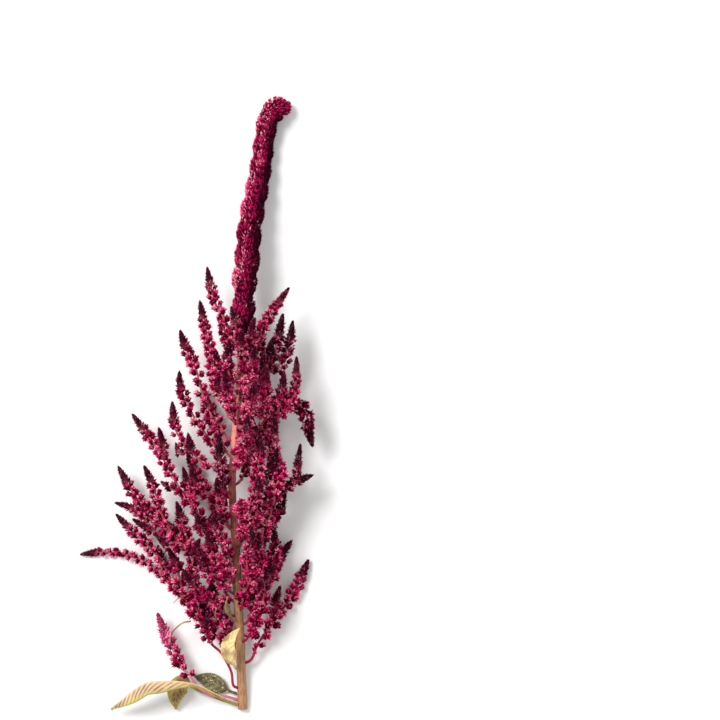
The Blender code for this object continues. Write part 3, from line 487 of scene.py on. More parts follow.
FRONT_SPRAYS = {
    1: (44, (((34, 58, 50), (29, 84, 56)), 6.2, 0.1, 0.1)),
    2: (36, (((43, 50, 53), (50, 74, 58)), 6.2, 0.1, 0.1)),
    3: (16, (((32, 32, 56), (27, 54, 68)), 6.4, 0.1, 0.2)),
    4: (2, (((44, 18, 58), (49, 38, 76), (51, 48, 86)), 6.4, 0.1, 0.2)),
    5: (24, (((37, 42, 60), (39, 64, 72)), 6.4, 0.1, 0.2)),
    6: (-32, (((42, -16, 60), (48, 4, 80), (50, 16, 92)), 6.6, 0.1, 0.3)),
    7: (-116, (((45, -100, 50), (52, -82, 66), (54, -66, 78)), 6.4, 0.1, 0.5)),
    9: (-20, (((31, -5, 57), (25, 13, 70), (24, 27, 80)), 6.4, 0.1, 0.3)),
    10: (-62, (((36, -46, 54), (43, -28, 66), (44, -12, 76)), 6.4, 0.1, 0.3)),
    8: (-150, (((24, -134, 42), (16, -114, 56), (14, -98, 66)), 5.8, 0.12, 0.5)),
}
BACK_SPRAYS = {
    1: (40, (((24, 58, 31), (19, 82, 28)), 6.2, 0.1, 0.2)),
    2: (24, (((52, 44, 28), (57, 70, 25)), 6.2, 0.1, 0.2)),
    3: (0, (((20, 20, 25), (14, 46, 22)), 6.4, 0.1, 0.3)),
    4: (-12, (((50, 8, 23), (62, 32, 19)), 6.4, 0.1, 0.3)),
    5: (-50, (((17, -30, 20), (6, -6, 13), (2, 14, 11)), 6.6, 0.1, 0.4)),
    6: (-75, (((46, -52, 20), (60, -28, 13), (66, -6, 11)), 6.6, 0.1, 0.4)),
    7: (-115, (((14, -94, 16), (-2, -70, 10), (-12, -46, 8)), 6.6, 0.1, 0.5)),
    8: (-128, (((48, -106, 16), (62, -84, 11), (76, -62, 8)), 6.6, 0.1, 0.5)),
    9: (-165, (((12, -148, 12), (-12, -128, 8), (-34, -106, 7)), 6.6, 0.1, 0.5)),
    10: (-185, (((48, -166, 11), (66, -146, 8), (82, -126, 7)), 6.6, 0.1, 0.5)),
    11: (-222, (((24, -208, 9), (8, -188, 7), (-6, -170, 7)), 6.0, 0.1, 0.5)),
}
SIDES = {"left": LEFT_SPRAYS, "right": RIGHT_SPRAYS, "front": FRONT_SPRAYS, "back": BACK_SPRAYS}
SPRAYS = {
    f"{side}_spray_{number}": (height, *(Spike(*spike) for spike in spikes))
    for side, rows in SIDES.items()
    for number, (height, *spikes) in rows.items()
}
# The sprays that bear on the surface: each gets a small flat spot there
BEARING = ("left_spray_9", "right_spray_10")


@dataclass
class Blade:
    """One leaf. Its shape: where it leaves the stem along Y, its midrib after that, its full width,
    how far its margins fold up, its waves in millimetres, how far it is turned, the share of its
    length that is petiole, how far along it is widest, and how far its veins slant. Its looks: its
    slot, its tint, how green its margins are, how pale its ribs, and how strong its pale spots."""

    height: float
    line: tuple
    width: float
    fold: float
    waves: float
    turn: float
    slot: str
    tint: tuple
    greening: float
    veining: float
    spotting: float = 0.0
    petiole: float = 0.22
    skew: float = 0.8
    slant: float = 1.0


LEAVES = {
    "arched_leaf": Blade(
        -271,
        (
            (15, -263, 26), (0, -255.4, 29), (-14, -251.8, 31), (-32, -251, 31),
            (-47, -252.6, 29), (-57, -258, 26), (-68, -267, 20), (-80, -276.5, 12),
        ),
        width=16, fold=-1.0, waves=0.6, turn=-0.72, petiole=0.34, skew=1.1, slant=2.2,
        slot="pale_leaf", tint=(0.95, 0.74, 0.6), greening=0.85, veining=0.8,
    ),
    "hanging_leaf": Blade(
        -273,
        (
            (15, -267, 3), (-4, -259, 6), (-14, -254, 9),
            (-19.4, -257.4, 10), (-22, -266.4, 8), (-21.7, -277, 4),
        ),
        width=18, fold=0.4, waves=0.6, turn=-0.4, petiole=0.6, skew=0.6,
        slot="pale_leaf", tint=(0.8, 0.72, 0.25), greening=1.0, veining=0.2,
    ),
    "bright_leaf": Blade(
        -240,
        ((29, -233, 26), (25.5, -224, 31), (26, -215, 34), (31, -207.5, 35), (36, -203, 35)),
        width=13, fold=0.25, waves=1.0, turn=1.3,
        slot="bright_leaf", tint=(1.3, 1.35, 1.9), greening=0.0, veining=0.25,
    ),
    "bract": Blade(
        -196,
        ((26, -190, 32), (23, -182, 37), (25, -174, 39)),
        width=6.5, fold=0.4, waves=0.5, turn=0.2,
        slot="pale_leaf", tint=(1.1, 0.95, 0.8), greening=0.5, veining=0.3,
    ),
    "dark_leaf": Blade(
        -263,
        ((20, -258, 4), (7, -251, 4.5), (-5.5, -247.5, 4.5)),
        width=16, fold=0.12, waves=0.7, turn=0.0,
        slot="dark_leaf", tint=(1.0, 1.0, 1.0), greening=0.2, veining=0.12, spotting=0.8,
    ),
}


def unit(vectors):
    """The directions of vectors, each of length 1."""
    return vectors / np.linalg.norm(vectors, axis=-1, keepdims=True)


def smooth_line(points, step):
    """Evenly spaced points on a smooth curve through the given ones, as an array."""
    given = np.array(points, float)
    gaps = np.linalg.norm(np.diff(given, axis=0), axis=1)
    slopes = np.diff(given, axis=0) / gaps[:, None]
    shares = gaps[1:, None] / (gaps[1:, None] + gaps[:-1, None])
    inner = slopes[:-1] * shares + slopes[1:] * (1 - shares)
    tangents = np.concatenate([slopes[:1], inner, slopes[-1:]])
    t = np.linspace(0, 1, CURVE_STEPS + 1)[1:, None]
    fine = [given[:1]]
    for k, gap in enumerate(gaps):
        fine.append(
            (2 * t**3 - 3 * t**2 + 1) * given[k]
            + (t**3 - 2 * t**2 + t) * gap * tangents[k]
            + (3 * t**2 - 2 * t**3) * given[k + 1]
            + (t**3 - t**2) * gap * tangents[k + 1]
        )
    return evenly(np.concatenate(fine), step)


def run_along(points):
    """The distance of each point from the first, along the line."""
    return np.concatenate([[0], np.cumsum(np.linalg.norm(np.diff(points, axis=0), axis=1))])


def evenly(points, step):
    """The line with its points evenly spaced, about a step apart."""
    run = run_along(points)
    count = max(2, round(run[-1] / step))
    return at_runs(points, np.linspace(0, run[-1], count + 1))


def at_runs(points, places):
    """The points of the line at the given distances from its start."""
    run = run_along(points)
    return np.stack([np.interp(places, run, points[:, k]) for k in range(3)], axis=1)


def nearest(points, spots):
    """For each spot, which of the points is nearest."""
    return np.array([np.argmin(((points - spot) ** 2).sum(axis=1)) for spot in spots])


def stem_radius(share):
    """The stem's radius without its nodes, at a share of the way from its foot to its top."""
    return STEM_FOOT_RADIUS + (STEM_TOP_RADIUS - STEM_FOOT_RADIUS) * share


def seated(y, point):
    """The stem's axis, direction and radius at a height along Y, and the way square off it that
    leads to a point."""
    line = smooth_line(STEM_LINE, FINE_STEP)
    k = int(np.clip(np.searchsorted(line[:, 1], y), 1, len(line) - 1))
    share = (y - line[k - 1, 1]) / (line[k, 1] - line[k - 1, 1])
    along = line[k] - line[k - 1]
    axis = line[k - 1] + share * along
    along = along / np.linalg.norm(along)
    out = np.array(point, float) - axis
    out -= along * (out @ along)
    height = (y - line[0, 1]) / (line[-1, 1] - line[0, 1])
    return axis, along, stem_radius(height), out / np.linalg.norm(out)


def rooted(y, line):
    """The line with its foot seated on the stem: it leaves square to the stem, then bends up."""
    axis, along, radius, out = seated(y, line[0])
    foot = axis + out * (radius + SEAT_GAP)
    return (tuple(foot), tuple(foot + out * FOOT_RUN + along * FOOT_RISE), *line)


def outer_radius(spike, run):
    """The florets' outer radius at the given distances along the spike."""
    length = run[-1]
    share = run / length
    taper = np.clip((length - run) / min(TIP_TAPER, LONGEST_TAPER * length), 0, 1) ** TAPER_POWER
    taper = TIP_FULLNESS + (1 - TIP_FULLNESS) * taper
    swell = np.clip((share - spike.bare * SWELL_START) / SWELL_SHARE, 0, 1)
    swell = swell * swell * (3 - 2 * swell)
    fullness = FOOT_FULLNESS + (1 - FOOT_FULLNESS) * share
    return TWIG_RADIUS + (spike.radius * fullness - TWIG_RADIUS) * swell * taper


@dataclass
class Row:
    """A spike in the layout: its spray, its entry in the table and its line. Its parent is None on
    the stem. Otherwise it is which row carries it, and which point of that row's line."""

    spray: str
    spike: Spike
    line: np.ndarray
    parent: tuple


def lay_out():
    """Every spike in the order of the table, after the sprays have been spread apart."""
    rows = []
    for spray, (height, *spikes) in SPRAYS.items():
        first = len(rows)
        for spike in spikes:
            if spike.start is None:
                parent = None
                line = smooth_line(rooted(height, spike.line), SETTLE_STEP)
            else:
                trunk = rows[first].line
                parent = (first, round(spike.start * (len(trunk) - 1)))
                line = smooth_line((tuple(trunk[parent[1]]), *spike.line), SETTLE_STEP)
            rows.append(Row(spray, spike, line, parent))
    spread(rows)
    return rows


def fixed_bodies():
    """Points and radii of what the sprays keep off: the stem, the leaves and the terminal spike."""
    bodies = [(STEM_LINE, STEM_FOOT_RADIUS + STEM_ROOM)]
    for blade in LEAVES.values():
        bodies.append((rooted(blade.height, blade.line), blade.width * BLADE_REACH + BLADE_ROOM))
    lines = [smooth_line(line, SETTLE_STEP) for line, _ in bodies]
    radii = [np.full(len(line), radius) for line, (_, radius) in zip(lines, bodies)]
    terminal = smooth_line(TERMINAL_LINE, SETTLE_STEP)
    radii.append(terminal_radius(np.linspace(0, 1, len(terminal))) * TERMINAL_ROOM)
    return np.concatenate([*lines, terminal]), np.concatenate(radii)


def terminal_radius(share):
    """The terminal spike's radius over its florets, at shares of its length."""
    places, shapes = zip(*TERMINAL_SHAPE)
    return TERMINAL_RADIUS * np.interp(share, places, shapes)


def near_pairs(points, radii, owner, sprays, run):
    """Pairs of points that may meet, how far apart the lines have to stay there, and whether the
    second one belongs to a fixed body."""
    count = len(owner)
    first, second = np.triu_indices(count, 1, len(points))
    near = np.linalg.norm(points[second] - points[first], axis=1) < PAIR_REACH
    first, second = first[near], second[near]
    apart = radii[first] + radii[second] + CLEARANCE
    fixed = second >= count
    other = np.minimum(second, count - 1)
    apart[fixed & (run[first] < ROOT_LENGTH)] = 0
    near_root = np.minimum(run[first], run[other]) < STIFF_LENGTH
    same = ~fixed & (sprays[first] == sprays[other])
    apart[same] *= SAME_SPRAY_SHARE
    apart[same & near_root] = 0
    apart[~fixed & (owner[first] == owner[other])] = 0
    used = apart > 0
    return first[used], second[used], apart[used], fixed[used]


def spread(rows):
    """Moves the spikes' lines apart, mostly up and down."""
    counts = [len(row.line) for row in rows]
    starts = np.concatenate([[0], np.cumsum(counts)])
    owner = np.repeat(np.arange(len(rows)), counts)
    sprays = np.repeat([row.spray for row in rows], counts)
    bearing = np.isin(sprays, BEARING)
    runs = [run_along(row.line) for row in rows]
    run = np.concatenate(runs)
    still_points, still_radii = fixed_bodies()
    points = np.concatenate([row.line for row in rows] + [still_points])
    spike_radii = [outer_radius(row.spike, along) for row, along in zip(rows, runs)]
    radii = np.concatenate(spike_radii + [still_radii])
    moving = slice(0, starts[-1])
    home = points[moving].copy()
    free = np.clip(run / STIFF_LENGTH, 0, 1)[:, None]
    low = np.where(bearing, -radii[moving], radii[moving] + FLOOR_CLEARANCE)
    first, second, apart, fixed = near_pairs(points, radii, owner, sprays, run)
    share = np.where(fixed, 1.0, 0.5) * PUSH_SHARE
    pieces = [slice(*ends) for ends in zip(starts, starts[1:])]

    for _ in range(SETTLE_ROUNDS):
        away = points[first] - points[second]
        length = np.maximum(np.linalg.norm(away, axis=1), MERGE_DISTANCE)
        move = away * (np.maximum(apart - length, 0) * share / length)[:, None]
        push = np.zeros_like(points)
        for axis in range(3):
            push[:, axis] = np.bincount(first, move[:, axis], len(points))
            push[:, axis] -= np.bincount(second, move[:, axis], len(points))
        push = push[moving] + (home - points[moving]) * HOMING
        push = smoothed(push * SETTLE_AXES, starts)
        points[moving] += np.clip(push, -LARGEST_MOVE, LARGEST_MOVE) * free
        lifted = (run > ROOT_LENGTH) & (points[moving, 2] < low)
        points[moving, 2] = np.where(lifted, low, points[moving, 2])
        for row, piece in zip(rows, pieces):
            if row.parent:
                foot = points[starts[row.parent[0]] + row.parent[1]]
                fade = np.clip(1 - run[piece] / STIFF_LENGTH, 0, 1)[:, None]
                points[piece] += (foot - points[piece.start]) * fade
    for row, piece in zip(rows, pieces):
        row.line = points[piece]


def smoothed(push, starts):
    """The pushes, each averaged with its neighbours' along its own spike."""
    for _ in range(SMOOTH_ROUNDS):
        before = np.roll(push, 1, axis=0)
        after = np.roll(push, -1, axis=0)
        before[starts[:-1]] = push[starts[:-1]]
        after[starts[1:] - 1] = push[starts[1:] - 1]
        push = (before + 2 * push + after) / 4
    return push


def frames(line, seat=None):
    """A direction and two square ones at each point, carried along the line without twist."""
    ahead = unit(np.gradient(line, axis=0))
    if seat is not None:
        ahead[0] = seat
    side = np.cross(ahead[0], (0, 0, 1))
    across = []
    for direction in ahead:
        side = side - direction * (side @ direction)
        side = side / np.linalg.norm(side)
        across.append(side)
    across = np.array(across)
    return ahead, across, np.cross(across, ahead)


def slot_colour(name):
    """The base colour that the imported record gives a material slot."""
    rows = {row["slot"]: row["base_color"] for row in frame["record"]["materials"]}
    return np.array(rows[name])


def number_property(name, description, default, **kind):
    return bpy.props.FloatProperty(name=name, description=description, default=default, **kind)


def length_property(name, description, default):
    return number_property(name, description, default, min=0, unit="LENGTH", precision=5)


def share_property(name, description, default):
    return number_property(name, description, default, min=0, max=1, subtype="FACTOR")


def colour_property(name, description, default):
    return bpy.props.FloatVectorProperty(
        name=name, description=description, default=default, min=0, max=1, size=3, subtype="COLOR"
    )


class StemSettings(bpy.types.PropertyGroup):
    """Sizes and colours of the stem."""

    ribs: bpy.props.IntProperty(name="Ribs", description="Ribs round the stem", default=9, min=3)
    rib_height: length_property("Rib height", "Height of a rib over its furrow", 0.00032)
    # Top: partly the stem's own rosy tint, partly painted light where the upper stem is lit
    top: colour_property("Top", "Colour where the sprays thin out", (0.88, 0.29, 0.24))
    middle: colour_property("Middle", "Colour of the bare length", (0.52, 0.14, 0.105))
    foot: colour_property("Foot", "Colour near the cut", (0.43, 0.23, 0.10))
    furrow: colour_property("Furrow", "Colour of the darker streaks", (0.17, 0.035, 0.03))
    pith: colour_property("Pith", "Colour of the cut end's middle", (0.72, 0.62, 0.42))


class FloretSettings(bpy.types.PropertyGroup):
    """Sizes and colours of the florets and their twigs."""

    bract_length: length_property("Bract length", "Length of one pointed bract", 0.0034)
    bract_width: share_property("Bract width", "Width as a share of the length", 0.58)
    bract_depth: share_property("Bract depth", "Depth as a share of the length", 0.4)
    bract_room: number_property("Bract room", "Surface of a knot for each bract, in square mm", 4.3)
    deep: colour_property("Deep", "Colour in the shade between florets", (0.024, 0.0003, 0.006))
    body: colour_property("Body", "Colour of most bracts", (0.60, 0.004, 0.086))
    # Bright is also the painted highlight on the bracts' tips, and Pale is partly their own pale
    # tips and partly painted highlight
    bright: colour_property("Bright", "Colour of the fresher bracts", (0.86, 0.045, 0.24))
    pale: colour_property("Pale", "Colour of the palest tips", (1.0, 0.50, 0.60))
    straw: colour_property("Straw", "Colour of the dried bracts", (0.66, 0.46, 0.24))
    twig: colour_property("Twig", "Colour of the lower bare twigs", (0.25, 0.018, 0.042))
    fresh_twig: colour_property("Fresh twig", "Colour of the twigs higher up", (0.62, 0.16, 0.17))


class LeafSettings(bpy.types.PropertyGroup):
    """Sizes and colours of the leaves and the dry stalks."""

    thickness: length_property("Thickness", "Thickness of a blade", 0.0006)
    vein_height: length_property("Vein height", "Height of the veins' relief", 0.0009)
    margin: colour_property("Margin", "Colour of the greener margins", (0.36, 0.31, 0.05))
    vein: colour_property("Vein", "Colour of the ribs", (0.92, 0.70, 0.46))
    spot: colour_property("Spot", "Colour of the pale spots", (0.70, 0.66, 0.30))
    stalk: colour_property("Stalk", "Colour of the dry stalks", (0.66, 0.42, 0.24))


class StageSettings(bpy.types.PropertyGroup):
    """The floor and the light."""

    floor: colour_property("Floor", "Colour of the floor", (0.90, 0.90, 0.895))
    key: number_property("Key light", "Strength of the key light", 2.65)
    fill: number_property("Fill light", "Strength of the world", 0.75)
    softness: number_property("Softness", "Width of the key light", KEY_WIDTH, subtype="ANGLE")


def give(tree, socket, value):
    """Links a value to the socket, or sets it there. A colour may leave out its alpha."""
    if isinstance(value, bpy.types.NodeSocket):
        tree.links.new(value, socket)
    else:
        socket.default_value = (*value, 1.0) if socket.type == "RGBA" else value


def node(tree, kind, inputs=(), **settings):
    """A node with its settings made and its inputs given."""
    made = tree.nodes.new(kind)
    for name, value in settings.items():
        setattr(made, name, value)
    for socket, value in dict(inputs).items():
        give(tree, made.inputs[socket], value)
    return made


def maths(tree, operation, *values):
    """The result of an operation on numbers."""
    inputs = dict(enumerate(values))
    return node(tree, "ShaderNodeMath", inputs, operation=operation).outputs[0]


def times(tree, first, second):
    return maths(tree, "MULTIPLY", first, second)


def layered(tree, colour, *layers):
    """The colour under layers, each given as where it lies, how strong it is and its colour."""
    for place, strength, shade in layers:
        inputs = {0: times(tree, place, strength), 6: colour, 7: shade}
        colour = node(tree, "ShaderNodeMix", inputs, data_type="RGBA").outputs[2]
    return colour


def between(tree, value, low, high):
    """A soft step of the value: 0 below the low end and 1 above the high end."""
    inputs = {"Value": value, "From Min": low, "From Max": high}
    return node(tree, "ShaderNodeMapRange", inputs, interpolation_type="SMOOTHSTEP").outputs[0]


def object_place(tree):
    return node(tree, "ShaderNodeTexCoord").outputs["Object"]


def place_along_y(tree):
    """How far up the head a point is, in metres along Y."""
    return node(tree, "ShaderNodeSeparateXYZ", {0: object_place(tree)}).outputs["Y"]


def mottle(tree, scale, detail, stretch=1):
    """Noise on Object coordinates, at a scale in cells a metre."""
    inputs = {"Vector": object_place(tree), "Scale": (1, stretch, 1)}
    moved = node(tree, "ShaderNodeMapping", inputs).outputs[0]
    inputs = {"Vector": moved, "Scale": scale, "Detail": detail}
    return node(tree, "ShaderNodeTexNoise", inputs).outputs["Fac"]


def pattern(tree, name):
    """One of the patterns of noise."""
    scale, detail, stretch, *levels = PATTERNS[name]
    noise = mottle(tree, scale, detail, stretch)
    return between(tree, noise, *levels) if levels else noise


def mark(tree, name):
    """A number that the mesh carries at each point."""
    return node(tree, "ShaderNodeAttribute", attribute_name=name).outputs["Fac"]


def new_group(name, *sockets):
    """A shader node group with sockets, each given as its way, its kind and its names. Gives its
    tree, what is given to it, and what it puts out."""
    tree = bpy.data.node_groups.new(name, "ShaderNodeTree")
    for way, kind, *names in sockets:
        for socket in names:
            tree.interface.new_socket(socket, in_out=way, socket_type="NodeSocket" + kind)
    return tree, tree.nodes.new("NodeGroupInput").outputs, tree.nodes.new("NodeGroupOutput").inputs


def dry_surface(name):
    """Fine dry grain: a height for the bump, and a roughness that varies with it."""
    numbers = ("INPUT", "Float", "Scale", "Rough low", "Rough high")
    tree, given, out = new_group(name, numbers, ("OUTPUT", "Float", "Height", "Roughness"))
    fine = mottle(tree, given["Scale"], GRAIN_DETAIL)
    rough = {"Value": fine, "To Min": given["Rough low"], "To Max": given["Rough high"]}
    give(tree, out["Height"], fine)
    give(tree, out["Roughness"], node(tree, "ShaderNodeMapRange", rough).outputs[0])
    return tree


def floret_colour(name):
    """Colour of a bract: its own tone, painted shade at its base, darker toward a spike's tip with
    age and wherever the mark carries painted shade, and paler at its own tip, partly its own
    paleness and partly a painted highlight."""
    numbers = ("INPUT", "Float", "Tone", "Tip", "Age")
    colours = ("INPUT", "Color", "Deep", "Body", "Bright", "Pale", "Straw")
    tree, given, out = new_group(name, numbers, colours, ("OUTPUT", "Color", "Colour"))
    own, tip = given["Tone"], given["Tip"]
    tone = maths(tree, "MULTIPLY_ADD", own, TONE_SPREAD, TONE_START)
    tone = maths(tree, "ADD", tone, times(tree, pattern(tree, "floret_patches"), PATCH_SHIFT))
    highlit_tip = maths(tree, "POWER", tip, TIP_SHARPNESS)
    shaded_base = maths(tree, "SUBTRACT", 1.0, between(tree, tip, *BASE_SHADE_REACH))
    colour = layered(
        tree,
        given["Deep"],
        (between(tree, tone, *BODY_TONES), 1.0, given["Body"]),
        (between(tree, tone, *BRIGHT_TONES), 1.0, given["Bright"]),
        # Painted highlight on the bract's tip
        (times(tree, highlit_tip, between(tree, tone, *TIP_HIGHLIGHT_TONES)), TIP_HIGHLIGHT, given["Bright"]),
        # Pale tips: partly the bracts' own pale tips, partly painted highlight
        (times(tree, between(tree, own, *PALE_TONES), tip), PALE_TIP_AND_HIGHLIGHT, given["Pale"]),
        (maths(tree, "LESS_THAN", own, STRAW_TONE / 2), 1.0, given["Straw"]),
        # Painted shade at the bract's base, where it sinks among the others
        (shaded_base, BASE_SHADE, given["Deep"]),
        # Darkening with age toward a spike's tip, and painted shade where the mark carries it
        (between(tree, given["Age"], *DARKENING_SPAN), AGE_AND_SHADE_DARKENING, given["Deep"]),
    )
    give(tree, out["Colour"], colour)
    return tree


def shared_group(tree, make, inputs):
    """Places a node group, made the first time that it is asked for, and gives its outputs."""
    group = bpy.data.node_groups.get(make.__name__) or make(make.__name__)
    return node(tree, "ShaderNodeGroup", inputs, node_tree=group).outputs


def new_material(name):
    material = bpy.data.materials.new(name)
    material.use_nodes = True
    return material, material.node_tree


def finished(material, colour, surface):
    """Gives the material its colour and one of the fine dry surfaces."""
    scale, (low, high), depth, specular = SURFACES[surface]
    tree = material.node_tree
    shader = tree.nodes["Principled BSDF"]
    inputs = {"Scale": scale, "Rough low": low, "Rough high": high}
    grain = shared_group(tree, dry_surface, inputs)
    bump = node(tree, "ShaderNodeBump", {"Height": grain["Height"], "Distance": depth})
    give(tree, shader.inputs["Base Color"], colour)
    give(tree, shader.inputs["Normal"], bump.outputs[0])
    give(tree, shader.inputs["Roughness"], grain["Roughness"])
    give(tree, shader.inputs["Specular IOR Level"], specular)
    return material


def floret_shades(slot, settings):
    """The colours of one kind of floret, from its own share of the record's colour."""
    kind = FLORETS[slot]
    keys = ("deep", "body", "bright", "pale", "straw")
    shades = {key: np.array(getattr(settings, key)) for key in keys}
    share = slot_colour(slot) / slot_colour("florets")
    for key in ("deep", "body", "bright"):
        shades[key] = np.minimum(shades[key] * share**kind.power, 1.0)
    for key in ("body", "bright"):
        shades[key] += (shades["pale"] - shades[key]) * kind.paleness
    shades["deep"] += (shades["body"] - shades["deep"]) * kind.openness
    return shades


def shaded_floret(tree, slot, settings):
    """One kind's floret colours, placed in a material."""
    age = times(tree, mark(tree, "age"), FLORETS[slot].ageing)
    inputs = {"Tone": mark(tree, "tone"), "Tip": mark(tree, "tip"), "Age": age}
    for key, shade in floret_shades(slot, settings).items():
        inputs[key.capitalize()] = np.clip(shade, 0, 1)
    return shared_group(tree, floret_colour, inputs)["Colour"]


def floret_material(slot, settings):
    """The bracts' material for a slot. A pink spike turns crimson towards its foot."""
    material, tree = new_material(slot)
    colour = shaded_floret(tree, slot, settings)
    if slot == "pink_florets":
        fresh = between(tree, mark(tree, "age"), *PINK_AGES)
        crimson = shaded_floret(tree, "florets", settings)
        colour = layered(tree, crimson, (fresh, 1.0, colour))
    return finished(material, colour, "floret")


def twig_material(slot, settings):
    """Bare twigs, fresher higher up, and cores inside the florets, painted in their florets' deep
    colour as painted shade.
    """
    material, tree = new_material(slot + "_twig")
    streak = pattern(tree, "twig_streaks")
    bare = np.array(settings.twig)
    bare += (np.array(settings.pale) - bare) * FLORETS[slot].paleness * TWIG_PALENESS
    fresh = between(tree, place_along_y(tree), *FRESH_HEIGHTS)
    colour = layered(
        tree,
        bare,
        (streak, 1.0, np.minimum(bare * TWIG_STREAKS, 1.0)),
        (fresh, streak, settings.fresh_twig),
        # Painted shade: the covered core takes the florets' deep colour
        (mark(tree, "age"), 1.0, floret_shades(slot, settings)["deep"]),
    )
    return finished(material, colour, "twig")


def stem_material(settings):
    """Rosy at the top, brown at the middle and olive near the cut, with darker streaks. The top's
    lighter colour is partly the stem's own rosy tint and partly painted light where it is lit.
    """
    material, tree = new_material("stem")
    sway = pattern(tree, "stem_sway")
    sway = maths(tree, "MULTIPLY_ADD", sway, HEIGHT_SWAY, -HEIGHT_SWAY / 2)
    height = maths(tree, "ADD", place_along_y(tree), sway)
    colour = layered(
        tree,
        settings.foot,
        (between(tree, height, *MIDDLE_HEIGHTS), 1.0, settings.middle),
        (between(tree, height, *TOP_HEIGHTS), 1.0, settings.top),
        (pattern(tree, "stem_streaks"), STEM_STREAKS, settings.furrow),
        (mark(tree, "furrow"), STEM_FURROWS, settings.furrow),
    )
    return finished(material, colour, "stem")


def pith_material(settings):
    """The cut end: pale spongy pith with fine pores."""
    material, tree = new_material("pith")
    dark = np.array(settings.pith) * PITH_PORES
    colour = layered(tree, dark, (pattern(tree, "pith_pores"), 1.0, settings.pith))
    return finished(material, colour, "pith")


def leaf_material(name, colour, settings, greening=0.0, veining=0.0, spotting=0.0):
    """A dry blade in dark and light patches, with greener margins, pale ribs and pale spots."""
    material, tree = new_material(name)
    dark, light = np.array(colour) * BLADE_PATCHES
    patch = pattern(tree, "leaf_patches")
    margin = maths(tree, "ADD", mark(tree, "margin"), times(tree, patch, MARGIN_PATCHES))
    blade = layered(
        tree,
        dark,
        (patch, 1.0, light),
        (between(tree, margin, *MARGIN_REACH), greening, settings.margin),
        (mark(tree, "vein"), veining, settings.vein),
        (pattern(tree, "leaf_spots"), spotting, settings.spot),
    )
    return finished(material, blade, "leaf")


def tube(rings, tip=None):
    """A closed tube through rings of points in millimetres, with a flat foot, and a point or a
    flat end."""
    rows = rings if tip is None else [*rings, [tip] * len(rings[0])]
    sides = len(rows[0])
    bm = bmesh.new()
    bmesh.ops.create_grid(bm, x_segments=sides, y_segments=len(rows) - 1, size=1.0)
    for vert in bm.verts:
        j = round((vert.co.x + 1) / 2 * sides) % sides
        k = round((vert.co.y + 1) / 2 * (len(rows) - 1))
        vert.co = Vector(rows[k][j]) * MM
    bmesh.ops.remove_doubles(bm, verts=bm.verts[:], dist=MERGE_DISTANCE * MM)
    bmesh.ops.holes_fill(bm, edges=[edge for edge in bm.edges if edge.is_boundary])
    bmesh.ops.recalc_face_normals(bm, faces=bm.faces[:])
    return bm


def ring_round(centre, across, up, radii):
    """Points round a centre, one for each radius."""
    turns = np.linspace(0, math.tau, len(radii), endpoint=False)[:, None]
    return centre + np.array(radii)[:, None] * (np.cos(turns) * across + np.sin(turns) * up)


def rings_along(line, radii, sides):
    """Round rings of points up a line."""
    _, across, up = frames(line)
    return [ring_round(*place, [radius] * sides) for *place, radius in zip(line, across, up, radii)]


def mesh_from(bm, name, smooth=True):
    """The finished mesh, with its faces made triangles."""
    bmesh.ops.triangulate(bm, faces=bm.faces[:])
    mesh = bpy.data.meshes.new(name)
    bm.to_mesh(mesh)
    bm.free()
    if smooth:
        mesh.shade_smooth()
    return mesh


def take(bm, mesh):
    """Adds a mesh to the bmesh, and removes it."""
    bm.from_mesh(mesh)
    bpy.data.meshes.remove(mesh)


def corners(mesh):
    """The mesh's points, in millimetres."""
    return np.array([vert.co for vert in mesh.vertices]) / MM


def added(name, data):
    """A new object in the scene."""
    thing = bpy.data.objects.new(name, data)
    bpy.context.scene.collection.objects.link(thing)
    return thing


def placed(mesh, name, slot, materials, *nodes):
    """The mesh as a piece of the head, in the place of the given CAD nodes."""
    piece = added(name, mesh)
    for material in materials:
        mesh.materials.append(material)
    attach(piece, "root")
    if nodes:
        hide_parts(*nodes)
    return piece


def put_mark(mesh, name, values):
    """Writes one number a point into the mesh."""
    marks = mesh.attributes.new(name, "FLOAT", "POINT")
    marks.data.foreach_set("value", np.asarray(values, np.float32))


def bract_shape(settings):
    """One bract, foot to tip along +Z: a small pointed bud, widest near its foot."""
    bm = bmesh.new()
    rings = len(BRACT_RINGS) + 1
    bmesh.ops.create_uvsphere(bm, u_segments=BRACT_SIDES, v_segments=rings, radius=1.0)
    for vert in bm.verts:
        k = round((1 - math.acos(max(-1.0, min(1.0, vert.co.z))) / math.pi) * rings)
        if 0 < k < rings:
            height, share = BRACT_RINGS[k - 1]
            around = Vector((vert.co.x, vert.co.y)).normalized() * share / 2
            vert.co = (around.x * settings.bract_width, around.y * settings.bract_depth, height)
        else:
            vert.co = (0, 0, k / rings)
    return mesh_from(bm, "bract", smooth=False)


def heart_shape():
    """The round middle of a knot, which shows between its bracts."""
    bm = bmesh.new()
    bmesh.ops.create_icosphere(bm, subdivisions=1, radius=1.0)
    return mesh_from(bm, "heart")


def stamped(shape, places, axes, sizes):
    """One mesh with a copy of the shape at each place, turned to its axes, sized, and kept off the
    floor."""
    bm = bmesh.new()
    for _ in range(len(places)):
        bm.from_mesh(shape)
    mesh = bpy.data.meshes.new(shape.name + "s")
    bm.to_mesh(mesh)
    bm.free()
    points = np.empty(len(shape.vertices) * 3)
    shape.vertices.foreach_get("co", points)
    points = points.reshape(1, -1, 3) * sizes[:, None, None]
    spots = places[:, None, :] + np.einsum("nvk,nkd->nvd", points, axes)
    spots[:, :, 2] += np.maximum(-spots[:, :, 2].min(axis=1), 0)[:, None]
    mesh.vertices.foreach_set("co", (spots * MM).ravel())
    return mesh


